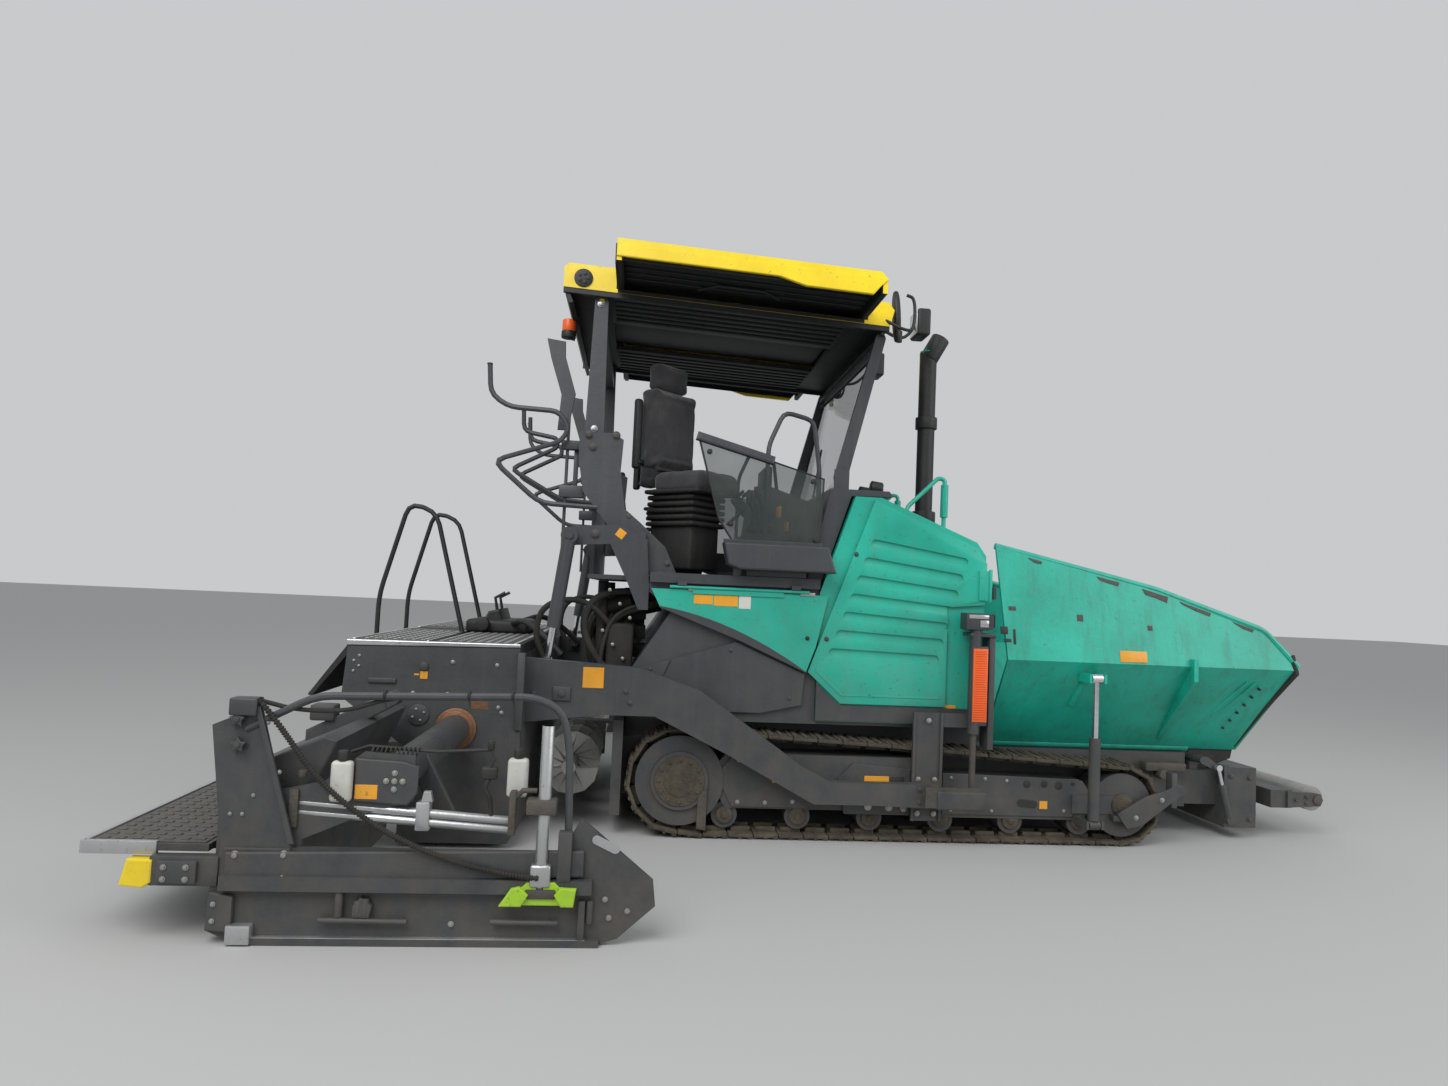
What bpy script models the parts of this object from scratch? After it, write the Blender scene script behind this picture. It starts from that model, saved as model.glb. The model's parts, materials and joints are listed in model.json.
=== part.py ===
"""Tracked asphalt paver with a sliding-extension screed, modelled as separate named parts.

Lengths are metres.  +X points forwards (hopper), +Y to the machine's left, +Z up.  Everything is
drawn in machine coordinates, whose X starts near the rear sprocket, and hangs from one empty that
moves the middle of the whole machine over the origin.
"""
import math

import bmesh
import bpy
from mathutils import Matrix, Vector

# ---------------------------------------------------------------- named sizes
GAP = 0.0003                 # between pieces that touch

# tracks
TRACK_IN = 0.90              # inner face of a track from the middle
TRACK_WIDTH = 0.305
BELT = 0.058                 # thickness of chain, plate and pad
SPROCKET = (0.32, 0.36)      # centre, X and Z
SPROCKET_R = 0.345           # over the pads
IDLER = (3.30, 0.27)
IDLER_R = 0.27
ROLLER_R = 0.085
ROLLER_COUNT = 6
GROOVE = 0.010               # depth of the gap between two pads
PAD_PITCH = 0.165

# chassis
FRAME_Y = 0.86               # outer face of the main side beams
TUNNEL_Y = 0.70              # half width of the conveyor tunnel
FRAME_LOW, FRAME_TOP = 0.20, 0.58
FRAME_REAR, FRAME_FRONT = -0.06, 3.95
DECK_LOW = 0.735
WALL = 0.03

# bodywork
BODY_Y = 1.12                # half width over the fixed sides
SKIN = 0.025                 # thickness of doors and flaps
FLOOR_TOP = 1.66             # operator's floor
SILL_TOP = 1.69              # raised sill and seat base round the drivers
SILL_Y = 1.15

SEAT_TOP = 2.40
SEAT_PLACE = (0.34, 0.71)    # middle of a cushion, X and Y
SEAT_TURN = math.radians(45)    # how far each seat is turned outwards
SEAT_HALF = 0.21             # half width of a cushion
SEAT_PIN_R = 0.02
SEAT_HINGE = (-0.16, SEAT_TOP + SEAT_PIN_R + GAP)    # back's hinge, along the seat and Z

# canopy
POST_FOOT_REAR = (-0.35, 2.50)
POST_FOOT_FRONT = (1.34, 2.40)
ROOF_PIVOT = (-0.345, 3.50)  # roof on the rear posts
FRONT_TOP = (1.585, 3.385)   # top of the front posts, under the roof
POST_Y = 0.955               # inner face of the canopy posts
POST_T = 0.04
ROOF_Y = 1.05
ROOF_REAR, ROOF_FRONT = -0.60, 1.66
ROOF_TOP_REAR, ROOF_TOP_FRONT = 3.73, 3.62
ROOF_DEPTH = 0.165
AWNING_REAR, AWNING_FRONT = -0.235, 1.46
AWNING_Y = 1.60

# tow points, levelling and lift
ARM_IN, ARM_OUT = 1.245, 1.315
TOW_PIN = (1.93, 0.33)
RAIL_X0, RAIL_X1 = 1.83, 2.03
RAIL_TOP = 0.85
RAIL_Y = 1.228               # face that the tow point slides on
LEVEL_X, LEVEL_Y = 2.215, 1.28
LIFT_PIN = (-0.46, 1.90)
LIFT_EYE = (-0.56, 1.075)
LIFT_Y = 1.175
LIFT_BORE, LIFT_ROD = 0.032, 0.022

# screed
BASIC_Y = 1.50               # half width of the basic screed
GATE_Y = 2.885               # inner face of the end gates
GATE_T = 0.03
TUBE_POS = (-1.04, 0.70)     # centre of the telescopic tubes
TUBE_R = 0.085
EXT_REAR, EXT_FRONT = -1.75, -1.40
EXT_TOP = 0.55
EXT_IN = 1.51                # inner end of an extension when it is out
SOLE = 0.03                  # height of the screed plates over the ground
ARCH_Y = 0.40                # handrails behind the screed, from the middle

# hopper
HINGE_R = 0.035
WING_HINGE = (0.80, FRAME_TOP + HINGE_R + GAP)    # Y and Z
WING_KNEE = (1.27, 1.22)
WING_RIM = (1.10, 1.985)
WING_EYE = (3.03, 1.12)      # rod eye of the wing cylinder, X and Z
WING_BASE = (3.03, 0.17)
WING_CYL_Y = 1.315
WING_PIN_R = 0.016
WING_EYE_PIN_R, EYE_SLACK = 0.012, 0.0085   # pin at the rod's eye, and the play round it
LUG_FACE, LUG_T = 0.042, 0.018   # lugs beside a wing cylinder's eyes
EYE_HALF = 0.036             # half length of those eyes
APRON_HINGE = (4.03, 0.545)
APRON_TUBE = 0.028
APRON_EYE = (4.12, 0.50)
APRON_BASE = (4.21, 0.14)
APRON_CYL_Y = 0.985

# front
FRONT_BLOCK = (4.19, 4.43)
FRONT_BLOCK_Y = 0.95
BAR_PIVOT_X = 4.56
PUSH_X, PUSH_Z, PUSH_R = 4.925, 0.277, 0.087
PUSH_IN, PUSH_OUT = 0.12, 0.86

# augers
AUGER_POS = (-0.39, 0.42)
AUGER_R = 0.19
AUGER_SHAFT = 0.045
AUGER_IN, AUGER_OUT = 0.075, 1.16
AUGER_PITCH = 0.30

# overall, for the middle of the machine
WALK_REAR = -2.30
MIDDLE_X = (PUSH_X + PUSH_R + WALK_REAR) / 2

# ---------------------------------------------------------------- clean scene
for old in list(bpy.data.objects):
    bpy.data.objects.remove(old, do_unlink=True)

scene = bpy.context.scene
scene.unit_settings.system = 'METRIC'

PALETTE = {
    'green': ((0.02, 0.30, 0.29), 0.38, 0.0),
    'slate': ((0.10, 0.12, 0.13), 0.55, 0.2),
    'yellow': ((0.80, 0.58, 0.02), 0.4, 0.0),
    'black': ((0.02, 0.02, 0.022), 0.6, 0.0),
    'rubber': ((0.035, 0.033, 0.03), 0.85, 0.0),
    'track': ((0.16, 0.14, 0.12), 0.85, 0.3),
    'chrome': ((0.75, 0.75, 0.77), 0.15, 1.0),
    'steel': ((0.42, 0.42, 0.42), 0.4, 0.9),
    'glass': ((0.55, 0.62, 0.62), 0.05, 0.0),
    'iron': ((0.20, 0.19, 0.18), 0.6, 0.7),
    'fabric': ((0.05, 0.05, 0.055), 0.8, 0.0),
}


def paint(key):
    mat = bpy.data.materials.get(key)
    if mat is None:
        mat = bpy.data.materials.new(key)
        mat.use_nodes = True
        shader = mat.node_tree.nodes['Principled BSDF']
        color, rough, metal = PALETTE[key]
        shader.inputs['Base Color'].default_value = (*color, 1.0)
        shader.inputs['Roughness'].default_value = rough
        shader.inputs['Metallic'].default_value = metal
        mat.diffuse_color = (*color, 1.0)
    return mat


machine = bpy.data.objects.new('machine', None)
machine.location = (-MIDDLE_X, 0.0, 0.0)
scene.collection.objects.link(machine)


# ---------------------------------------------------------------- shapes
def closed(verts, faces):
    """A mesh from its corners and faces, with its normals outwards."""
    bm = bmesh.new()
    corners = [bm.verts.new(v) for v in verts]
    for face in faces:
        bm.faces.new([corners[i] for i in face])
    bmesh.ops.recalc_face_normals(bm, faces=bm.faces)
    mesh = bpy.data.meshes.new('piece')
    bm.to_mesh(mesh)
    bm.free()
    return mesh


def prism(profile, low, high, axis='Y'):
    """A flat outline pushed along an axis: (x, z) along Y, (y, z) along X, (x, y) along Z."""
    place = {'Y': lambda a, b, c: (a, c, b), 'X': lambda a, b, c: (c, a, b),
             'Z': lambda a, b, c: (a, b, c)}[axis]
    low, high = min(low, high), max(low, high)
    n = len(profile)
    verts = [place(a, b, low) for a, b in profile] + [place(a, b, high) for a, b in profile]
    faces = [tuple(range(n)), tuple(range(2 * n - 1, n - 1, -1))]
    faces += [(i, (i + 1) % n, n + (i + 1) % n, n + i) for i in range(n)]
    return closed(verts, faces)


def box(x0, x1, y0, y1, z0, z1):
    return prism([(x0, z0), (x1, z0), (x1, z1), (x0, z1)], y0, y1)


def ring_points(centre, along, radius, count, turn=0.0):
    along = along.normalized()
    side = Vector((1, 0, 0)) if abs(along.z) > 0.9 else along.cross(Vector((0, 0, 1))).normalized()
    side = (side - side.dot(along) * along).normalized()
    up = along.cross(side)
    return [centre + radius * (math.cos(a) * side + math.sin(a) * up)
            for a in (turn + 2 * math.pi * i / count for i in range(count))]


def rod(start, end, radius, count=24):
    """A round bar between two points."""
    start, end = Vector(start), Vector(end)
    along = end - start
    verts = ring_points(start, along, radius, count) + ring_points(end, along, radius, count)
    faces = [tuple(range(count)), tuple(range(2 * count - 1, count - 1, -1))]
    faces += [(i, (i + 1) % count, count + (i + 1) % count, count + i) for i in range(count)]
    return closed(verts, faces)


def rounded(points, radius, steps=3):
    """The same path with its inner corners turned into short arcs."""
    points = [Vector(p) for p in points]
    path = [points[0]]
    for before, here, after in zip(points, points[1:], points[2:]):
        reach = min(radius, (before - here).length * 0.45, (after - here).length * 0.45)
        a = here + (before - here).normalized() * reach
        b = here + (after - here).normalized() * reach
        for i in range(steps + 1):
            t = i / steps
            path.append(a * (1 - t) ** 2 + here * 2 * t * (1 - t) + b * t ** 2)
    path.append(points[-1])
    return path


def pipe(points, radius, count=10, bend=0.06):
    """A bent tube filled as a bar: rings on the mitre planes of a rounded path."""
    path = rounded(points, bend) if bend else [Vector(p) for p in points]
    steps = [(b - a).normalized() for a, b in zip(path, path[1:])]
    side = steps[0].orthogonal().normalized()
    verts = []
    for i, here in enumerate(path):
        ahead = steps[min(i, len(steps) - 1)]
        behind = steps[max(i - 1, 0)]
        normal = (ahead + behind).normalized()
        side = (side - side.dot(behind) * behind).normalized()
        up = behind.cross(side)
        for j in range(count):
            a = 2 * math.pi * j / count
            p = here + radius * (math.cos(a) * side + math.sin(a) * up)
            slip = (here - p).dot(normal) / behind.dot(normal)
            verts.append(p + behind * slip)
    rings = len(path)
    faces = [tuple(range(count)),
             tuple(range(rings * count - 1, (rings - 1) * count - 1, -1))]
    for i in range(rings - 1):
        for j in range(count):
            a, b = i * count + j, i * count + (j + 1) % count
            faces.append((a, b, b + count, a + count))
    return closed(verts, faces)


def arc(centre, radius, start, end, count):
    """Points on an arc in degrees, both ends included."""
    return [(centre[0] + radius * math.cos(math.radians(start + (end - start) * i / count)),
             centre[1] + radius * math.sin(math.radians(start + (end - start) * i / count)))
            for i in range(count + 1)]


def link(name, mesh):
    obj = bpy.data.objects.new(name, mesh)
    scene.collection.objects.link(obj)
    return obj


def part(name, color, pieces, cuts=(), keep=None, origin=(0, 0, 0), smooth=35):
    """One closed part: pieces joined, cuts taken away, its origin on its joint's axis."""
    base = link(name, pieces[0])
    helpers = []
    jobs = [(m, 'UNION') for m in pieces[1:]] + [(m, 'DIFFERENCE') for m in cuts]
    if keep is not None:
        jobs.append((keep, 'INTERSECT'))
    for mesh, kind in jobs:
        helper = link(name + '_tool', mesh)
        helper.hide_render = True
        helper.display_type = 'WIRE'
        helpers.append(helper)
        step = base.modifiers.new('shape', 'BOOLEAN')
        step.operation = kind
        step.solver = 'EXACT'
        step.object = helper
    if helpers:
        graph = bpy.context.evaluated_depsgraph_get()
        mesh = bpy.data.meshes.new_from_object(base.evaluated_get(graph))
        base.modifiers.clear()
        base.data = mesh
        for helper in helpers:
            bpy.data.objects.remove(helper, do_unlink=True)
    mesh = base.data
    mesh.name = name
    bm = bmesh.new()
    bm.from_mesh(mesh)
    bmesh.ops.remove_doubles(bm, verts=bm.verts, dist=0.00002)
    bmesh.ops.dissolve_limit(bm, angle_limit=0.0015, verts=bm.verts, edges=bm.edges)
    bm.to_mesh(mesh)
    bm.free()
    mesh.materials.clear()
    mesh.materials.append(paint(color))
    mesh.transform(Matrix.Translation(-Vector(origin)))
    mesh.shade_smooth()
    mesh.set_sharp_from_angle(angle=math.radians(smooth))
    base.location = origin
    base.parent = machine
    return base


def turned(mesh, s):
    """A seat's piece, drawn along X about its own middle, put in its turned place."""
    place = Vector((SEAT_PLACE[0], s * SEAT_PLACE[1], 0))
    mesh.transform(Matrix.Translation(place) @ Matrix.Rotation(s * SEAT_TURN, 4, 'Z'))
    return mesh


SIDES = (('right', -1), ('left', 1))


# ---------------------------------------------------------------- tracks
def track_path(inset):
    """The loop a distance inside the pads: sprocket, ground, idler and top run, as points."""
    rear, front = SPROCKET_R - inset, IDLER_R - inset
    loop = arc(SPROCKET, rear, 92, 263, 20)
    loop += [(SPROCKET[0] + 0.10, inset)]
    loop += arc(IDLER, front, 270, 446, 18)
    top = 0.5 * (loop[-1][1] + loop[0][1]) + 0.012
    loop += [(0.5 * (loop[-1][0] + loop[0][0]), top)]
    return loop


def along(loop, pitch, depth):
    """The loop's outline cut into pads: a shallow groove after each pad."""
    length = sum(math.dist(a, b) for a, b in zip(loop, loop[1:] + loop[:1]))
    count = round(length / pitch)
    pitch = length / count
    marks = []
    for i in range(count):
        marks += [(i * pitch, 0.0), (i * pitch + 0.010, depth), (i * pitch + 0.026, depth),
                  (i * pitch + 0.036, 0.0), (i * pitch + pitch * 0.6, 0.0)]
    points = []
    place, i = 0.0, 0
    for a, b in zip(loop, loop[1:] + loop[:1]):
        step = math.dist(a, b)
        while i < len(marks) and marks[i][0] < place + step - 1e-9:
            t = (marks[i][0] - place) / step
            x, z = a[0] + (b[0] - a[0]) * t, a[1] + (b[1] - a[1]) * t
            inward = (-(b[1] - a[1]) / step, (b[0] - a[0]) / step)
            points.append((x + inward[0] * marks[i][1], z + inward[1] * marks[i][1]))
            i += 1
        place += step
    return points


for side, s in SIDES:
    outer = along(track_path(0.0), PAD_PITCH, GROOVE)
    part('track_' + side, 'track',
         [prism(outer, s * TRACK_IN, s * (TRACK_IN + TRACK_WIDTH))],
         [prism(track_path(BELT), s * (TRACK_IN - 0.05), s * (TRACK_IN + TRACK_WIDTH + 0.05))])

    fit = BELT + GAP
    mid = s * (TRACK_IN + TRACK_WIDTH / 2)
    inside, outside = s * (TRACK_IN + 0.03), s * (TRACK_IN + TRACK_WIDTH - 0.03)
    face = s * 1.16
    pieces = [
        prism([(0.62, 0.19), (1.88, 0.19), (2.02, 0.16), (3.03, 0.16), (3.14, 0.27), (3.03, 0.42),
               (2.02, 0.44), (1.88, 0.54), (0.62, 0.54), (0.50, 0.40)], s * 0.95, face),
        rod((SPROCKET[0], inside, SPROCKET[1]), (SPROCKET[0], outside, SPROCKET[1]),
            SPROCKET_R - fit - 0.002, 40),
        rod((SPROCKET[0], s * 0.95, SPROCKET[1]), (SPROCKET[0], s * 1.195, SPROCKET[1]), 0.185, 28),
        prism([(0.30, 0.25), (0.70, 0.25), (0.70, 0.48), (0.30, 0.48)], s * 0.95, s * 1.10),
        rod((IDLER[0], inside, IDLER[1]), (IDLER[0], outside, IDLER[1]), IDLER_R - fit - 0.002, 36),
        prism([(2.95, 0.21), (3.32, 0.21), (3.32, 0.33), (2.95, 0.33)], s * 0.96, s * 1.185),
        box(0.80, 1.15, s * (FRAME_Y + GAP), s * 0.97, 0.26, 0.48),
        box(2.55, 2.85, s * (FRAME_Y + GAP), s * 0.97, 0.22, 0.40),
        # tow rail, carried on two blocks through the side of the loop
        box(RAIL_X0 + 0.02, RAIL_X1 - 0.02, s * 1.15, s * 1.225, 0.22, 0.36),
        box(RAIL_X0, RAIL_X1, s * 1.215, s * RAIL_Y, 0.15, RAIL_TOP),
        box(RAIL_X0, RAIL_X0 + 0.018, s * 1.215, s * (RAIL_Y + 0.0125), 0.15, RAIL_TOP),
        box(RAIL_X1 - 0.018, RAIL_X1, s * 1.215, s * (RAIL_Y + 0.0125), 0.15, RAIL_TOP),
        box(RAIL_X1 - 0.01, LEVEL_X + 0.03, s * 1.215, s * RAIL_Y, 0.76, RAIL_TOP),
    ]
    # lugs and pin under the wing cylinder
    for x in (WING_BASE[0] - LUG_FACE - LUG_T, WING_BASE[0] + LUG_FACE):
        pieces.append(box(x, x + LUG_T, s * 1.15, s * (WING_CYL_Y + 0.03), 0.145, 0.195))
    pieces.append(rod((WING_BASE[0] - LUG_FACE - LUG_T, s * WING_CYL_Y, WING_BASE[1]),
                      (WING_BASE[0] + LUG_FACE + LUG_T, s * WING_CYL_Y, WING_BASE[1]), WING_PIN_R, 16))
    low = fit
    for i in range(ROLLER_COUNT):
        x = 0.62 + i * (3.02 - 0.62) / (ROLLER_COUNT - 1)
        pieces.append(rod((x, s * 0.945, low + ROLLER_R), (x, s * 1.14, low + ROLLER_R),
                          ROLLER_R, 20))
    part('track_frame_' + side, 'slate', pieces)


# ---------------------------------------------------------------- chassis with tunnel and floor
chassis = [
    box(FRAME_REAR, FRAME_FRONT, -FRAME_Y, FRAME_Y, FRAME_LOW, FRAME_TOP),
    box(0.25, 2.42, -FRAME_Y + 0.03, FRAME_Y - 0.03, FRAME_TOP - 0.02, DECK_LOW + 0.01),
    box(0.15, 2.42, -1.10, 1.10, DECK_LOW, DECK_LOW + 0.02),
    box(-0.12, -0.055, -1.17, 1.17, 0.13, 0.73),
    # hopper's back wall, up to the bonnet
    prism([(2.345, 0.56), (2.375, 0.56), (2.375, 1.90), (2.345, 1.92)], -0.74, 0.74),
    box(2.30, 2.36, -0.74, 0.74, 0.70, 0.755),
    # front block and the beams to it
    box(3.90, 4.25, 0.74, FRAME_Y, 0.22, 0.46),
    box(3.90, 4.25, -FRAME_Y, -0.74, 0.22, 0.46),
    box(FRONT_BLOCK[0], FRONT_BLOCK[1], -FRONT_BLOCK_Y, FRONT_BLOCK_Y, 0.08, 0.50),
    box(FRONT_BLOCK[1] - 0.02, BAR_PIVOT_X + 0.06, -0.07, 0.07, 0.14, 0.20),
    box(FRONT_BLOCK[1] - 0.02, BAR_PIVOT_X + 0.06, -0.07, 0.07, 0.35, 0.41),
    rod((BAR_PIVOT_X, 0, 0.15), (BAR_PIVOT_X, 0, 0.40), 0.03),
    # gearbox that carries the augers
    box(AUGER_POS[0] - 0.09, -0.11, -0.055, 0.055, AUGER_POS[1] - 0.11, AUGER_POS[1] + 0.14),
    rod((AUGER_POS[0], -0.07, AUGER_POS[1]), (AUGER_POS[0], 0.07, AUGER_POS[1]), 0.09),
    rod((AUGER_POS[0], -0.45, AUGER_POS[1]), (AUGER_POS[0], 0.45, AUGER_POS[1]), 0.02),
]
for side, s in SIDES:
    # saddle under the apron's tube, and the foot pin of its cylinder
    chassis.append(box(APRON_HINGE[0] - 0.03, APRON_HINGE[0] + 0.03, s * 0.77, s * 0.84,
                       0.44, APRON_HINGE[1] - APRON_TUBE - GAP))
    chassis.append(rod((APRON_BASE[0], s * 0.94, APRON_BASE[1]),
                       (APRON_BASE[0], s * (APRON_CYL_Y + 0.02), APRON_BASE[1]), 0.016))
cuts = [
    box(-0.2, 2.60, -TUNNEL_Y, TUNNEL_Y, 0.30, 0.54),
    box(2.50, 4.0, -TUNNEL_Y, TUNNEL_Y, 0.30, 0.75),
]
part('chassis', 'slate', chassis, cuts)

# ---------------------------------------------------------------- bonnet, exhaust and engine
side_view = [(1.20, 0.757), (2.33, 0.757), (2.33, 1.56), (2.335, 1.90), (2.27, 1.99),
             (1.60, 2.26), (1.42, 2.26), (1.20, 1.60)]
inner_view = [(1.23, 0.79), (2.30, 0.79), (2.30, 1.55), (2.30, 1.88), (2.25, 1.955),
              (1.60, 2.225), (1.44, 2.225), (1.23, 1.60)]
door_view = [(1.55, 2.24), (1.134, 1.079), (1.357, 0.88), (2.07, 0.88), (2.07, 1.545),
             (2.325, 1.57), (2.335, 1.844), (2.264, 1.953)]
hole_view = [(1.55, 2.15), (1.25, 1.30), (1.25, 1.10), (1.40, 0.93), (2.02, 0.93), (2.02, 1.60),
             (2.25, 1.62), (2.25, 1.87)]
bonnet_low = 0.757 + GAP
side_view = [(x, max(z, bonnet_low)) for x, z in side_view]
part('bonnet', 'green', [
    prism(side_view, -BODY_Y, BODY_Y),
    rod((2.135, -0.35, 1.95), (2.135, -0.35, 3.50), 0.062),
    prism([(2.075, 3.48), (2.19, 3.48), (2.245, 3.60), (2.18, 3.60)], -0.39, -0.31),
    rod((2.135, -0.35, 2.90), (2.135, -0.35, 2.98), 0.078),
    rod((2.135, -0.35, 1.95), (2.135, -0.35, 2.22), 0.085),
    pipe([(1.93, -0.60, 2.05), (1.93, -0.60, 2.26), (2.16, -0.60, 2.49), (2.21, -0.60, 2.48),
          (2.21, -0.60, 2.0)], 0.016, 8, 0.03),
    pipe([(1.93, 0.60, 2.05), (1.93, 0.60, 2.26), (2.16, 0.60, 2.49), (2.21, 0.60, 2.48),
          (2.21, 0.60, 2.0)], 0.016, 8, 0.03),
    # lugs that hold the hinge pins of the doors
    box(2.30, 2.375, 0.80, BODY_Y - 0.001, 1.62, 1.66),
    box(2.342, 2.375, 1.0, BODY_Y + SKIN - 0.01 + GAP, 1.62, 1.66),
    box(2.30, 2.375, -BODY_Y + 0.001, -0.80, 1.62, 1.66),
    box(2.342, 2.375, -BODY_Y - SKIN + 0.01 - GAP, -1.0, 1.62, 1.66),
], [
    prism(inner_view, -BODY_Y + WALL, BODY_Y - WALL),
    prism(hole_view, -BODY_Y - 0.1, BODY_Y + 0.1),
])
part('engine', 'iron', [
    box(1.36, 2.20, -0.50, 0.50, 0.86, 1.75),
    box(1.42, 2.10, -0.45, 0.45, 0.79 + GAP, 0.90),
])
for side, s in SIDES:
    y0, y1 = BODY_Y + GAP * 2, BODY_Y + GAP * 2 + SKIN
    hinge = (2.355, s * (y1 + 0.012), 0.0)
    part('engine_door_' + side, 'green', [
        prism(door_view, s * y0, s * y1),
        rod((hinge[0], hinge[1], 1.59), (hinge[0], hinge[1], 1.81), 0.012, 12),
        box(2.28, 2.355, s * (y1 - 0.01), s * (y1 + 0.012), 1.60, 1.80),
    ], origin=(hinge[0], hinge[1], 1.70))

# ---------------------------------------------------------------- operator's platform
under_low = DECK_LOW + 0.02 + GAP
under_view = [(0.15, under_low), (1.195, under_low), (1.195, FLOOR_TOP), (0.07, FLOOR_TOP),
              (0.07, 1.56), (0.22, 1.44), (-0.03, 1.045), (0.02, 0.90)]
under_hole = [(0.24, 0.86), (1.15, 0.86), (1.15, 1.56), (0.16, 1.56), (0.27, 1.44), (0.05, 1.05)]
flap_view = [(0.08, 1.584), (0.14, 1.47), (0.675, 1.271), (1.120, 1.080), (1.18, 1.25),
             (1.25, 1.584)]
flap_hole = [(0.20, 1.55), (0.26, 1.47), (0.68, 1.33), (1.10, 1.16), (1.12, 1.55)]
platform = [
    prism(under_view, -1.10, 1.10),
    box(-0.34, 1.195, -1.06, 1.06, FLOOR_TOP - 0.03, FLOOR_TOP),
    box(0.07, 1.195, -SILL_Y, SILL_Y, 1.625, SILL_TOP),
    # side skirt over the tracks
    prism([(-0.03, 1.045), (0.65, 1.255), (1.115, 1.06), (1.10, 0.86), (0.83, 0.80), (0.10, 0.80)],
          -1.13, 1.13),
    # cowl in front of the drivers
    prism([(1.10, 1.62), (1.195, 1.62), (1.40, 2.265), (1.69, 2.275), (1.66, 2.31), (1.26, 2.31)],
          -1.08, 1.08),
    # rear wall of the platform
    box(-0.34, -0.31, -0.90, 0.90, 1.64, 2.35),
    # console between the seats
    prism([(0.75, 1.65), (1.16, 1.65), (1.25, 2.30), (0.95, 2.40), (0.85, 2.33)], -0.28, 0.28),
    rod((0.86, 0.62, 2.26), (0.90, 0.62, 2.30), 0.16, 20),
    rod((0.88, 0.62, 2.28), (1.15, 0.62, 2.05), 0.025, 10),
    box(1.05, 1.20, 0.55, 0.69, 1.98, 2.12),
]
for side, s in SIDES:
    platform += [
        # grab handle
        pipe([(0.84, s * 0.935, 1.66), (0.84, s * 0.935, 2.60), (0.94, s * 0.935, 2.84),
              (1.15, s * 0.935, 2.79), (1.20, s * 0.935, 2.45), (1.20, s * 0.935, 1.70)],
             0.016, 8, 0.06),
        # pivot plates of the front posts
        box(1.29, 1.39, s * 1.006, s * 1.03, 2.25, 2.45),
        rod((POST_FOOT_FRONT[0], s * 1.01, POST_FOOT_FRONT[1]),
            (POST_FOOT_FRONT[0], s * 0.945, POST_FOOT_FRONT[1]), 0.02, 16),
        # lugs over the hinge rod of a side flap
        box(0.25, 0.31, s * 1.12, s * 1.178, 1.61 + GAP, 1.64),
        box(1.00, 1.06, s * 1.12, s * 1.178, 1.61 + GAP, 1.64),
    ]
    platform.append(pipe([(-0.30, s * 0.20, 2.20), (-0.62, s * 0.20, 2.22), (-1.00, s * 0.20, 2.43),
                          (-0.665, s * 0.20, 2.61), (-0.67, s * 0.20, 2.68),
                          (-0.92, s * 0.20, 2.72), (-0.93, s * 0.20, 2.90)], 0.017, 8, 0.06))
part('platform', 'slate', platform, [prism(flap_hole, -1.2, 1.2), prism(under_hole, -1.05, 1.05)])

for side, s in SIDES:
    y0, y1 = 1.13 + GAP * 2, 1.13 + GAP * 2 + SKIN
    hinge = (0.66, s * (y1 + 0.010), 1.60)
    part('side_flap_' + side, 'green', [
        prism(flap_view, s * y0, s * y1),
        rod((0.20, hinge[1], hinge[2]), (1.12, hinge[1], hinge[2]), 0.010, 12),
        box(0.35, 0.95, s * (y1 - 0.01), s * (y1 + 0.010), 1.56, 1.60),
    ], origin=hinge)

    part('side_screen_' + side, 'black', [
        prism([(0.53, 1.90), (1.21, 1.90), (1.27, 1.73), (0.64, 1.73), (0.56, 1.76)],
              s * 1.125, s * 1.30),
        prism([(0.33, 2.59), (1.19, 2.355), (1.18, 1.88), (0.61, 1.88), (0.50, 2.04)],
              s * 1.125, s * 1.145),
        prism([(0.31, 2.57), (0.33, 2.62), (1.195, 2.385), (1.195, 2.335)], s * 1.11, s * 1.16),
        box(0.70, 1.10, s * 1.09, s * 1.14, SILL_TOP + GAP, 1.76),
    ])

    # seat on its bellows, turned outwards, and the back that folds over the cushion
    part('seat_' + side, 'fabric', [
        turned(mesh, s) for mesh in (
            box(-0.24, 0.12, -0.13, 0.13, SILL_TOP + GAP, 2.02),
            box(-0.28, 0.18, -0.17, 0.17, 1.98, 2.28),
            box(-0.26, 0.26, -SEAT_HALF, SEAT_HALF, 2.25, SEAT_TOP),
        )
    ])
    part('seat_back_' + side, 'fabric', [
        turned(mesh, s) for mesh in (
            prism([(SEAT_HINGE[0], SEAT_HINGE[1] + 0.012), (-0.265, SEAT_HINGE[1] - 0.005),
                   (-0.33, 3.00), (-0.225, 3.00)], -SEAT_HALF + 0.01, SEAT_HALF - 0.01),
            prism([(-0.335, 2.985), (-0.24, 2.985), (-0.235, 3.20), (-0.31, 3.20)], -0.11, 0.11),
            rod((SEAT_HINGE[0], -SEAT_HALF + 0.005, SEAT_HINGE[1]),
                (SEAT_HINGE[0], SEAT_HALF - 0.005, SEAT_HINGE[1]), SEAT_PIN_R, 16),
        )
    ], origin=(SEAT_PLACE[0] + SEAT_HINGE[0] * math.cos(SEAT_TURN),
               s * (SEAT_PLACE[1] + SEAT_HINGE[0] * math.sin(SEAT_TURN)), SEAT_HINGE[1]))

# windscreen between the front posts
part('windscreen', 'glass', [
    prism([(1.36, 2.335), (1.375, 2.335), (1.590, 3.30), (1.575, 3.30)], -0.935, 0.935),
    prism([(1.34, 2.31 + GAP), (1.40, 2.31 + GAP), (1.40, 2.36), (1.34, 2.36)], -0.92, 0.92),
])

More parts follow.
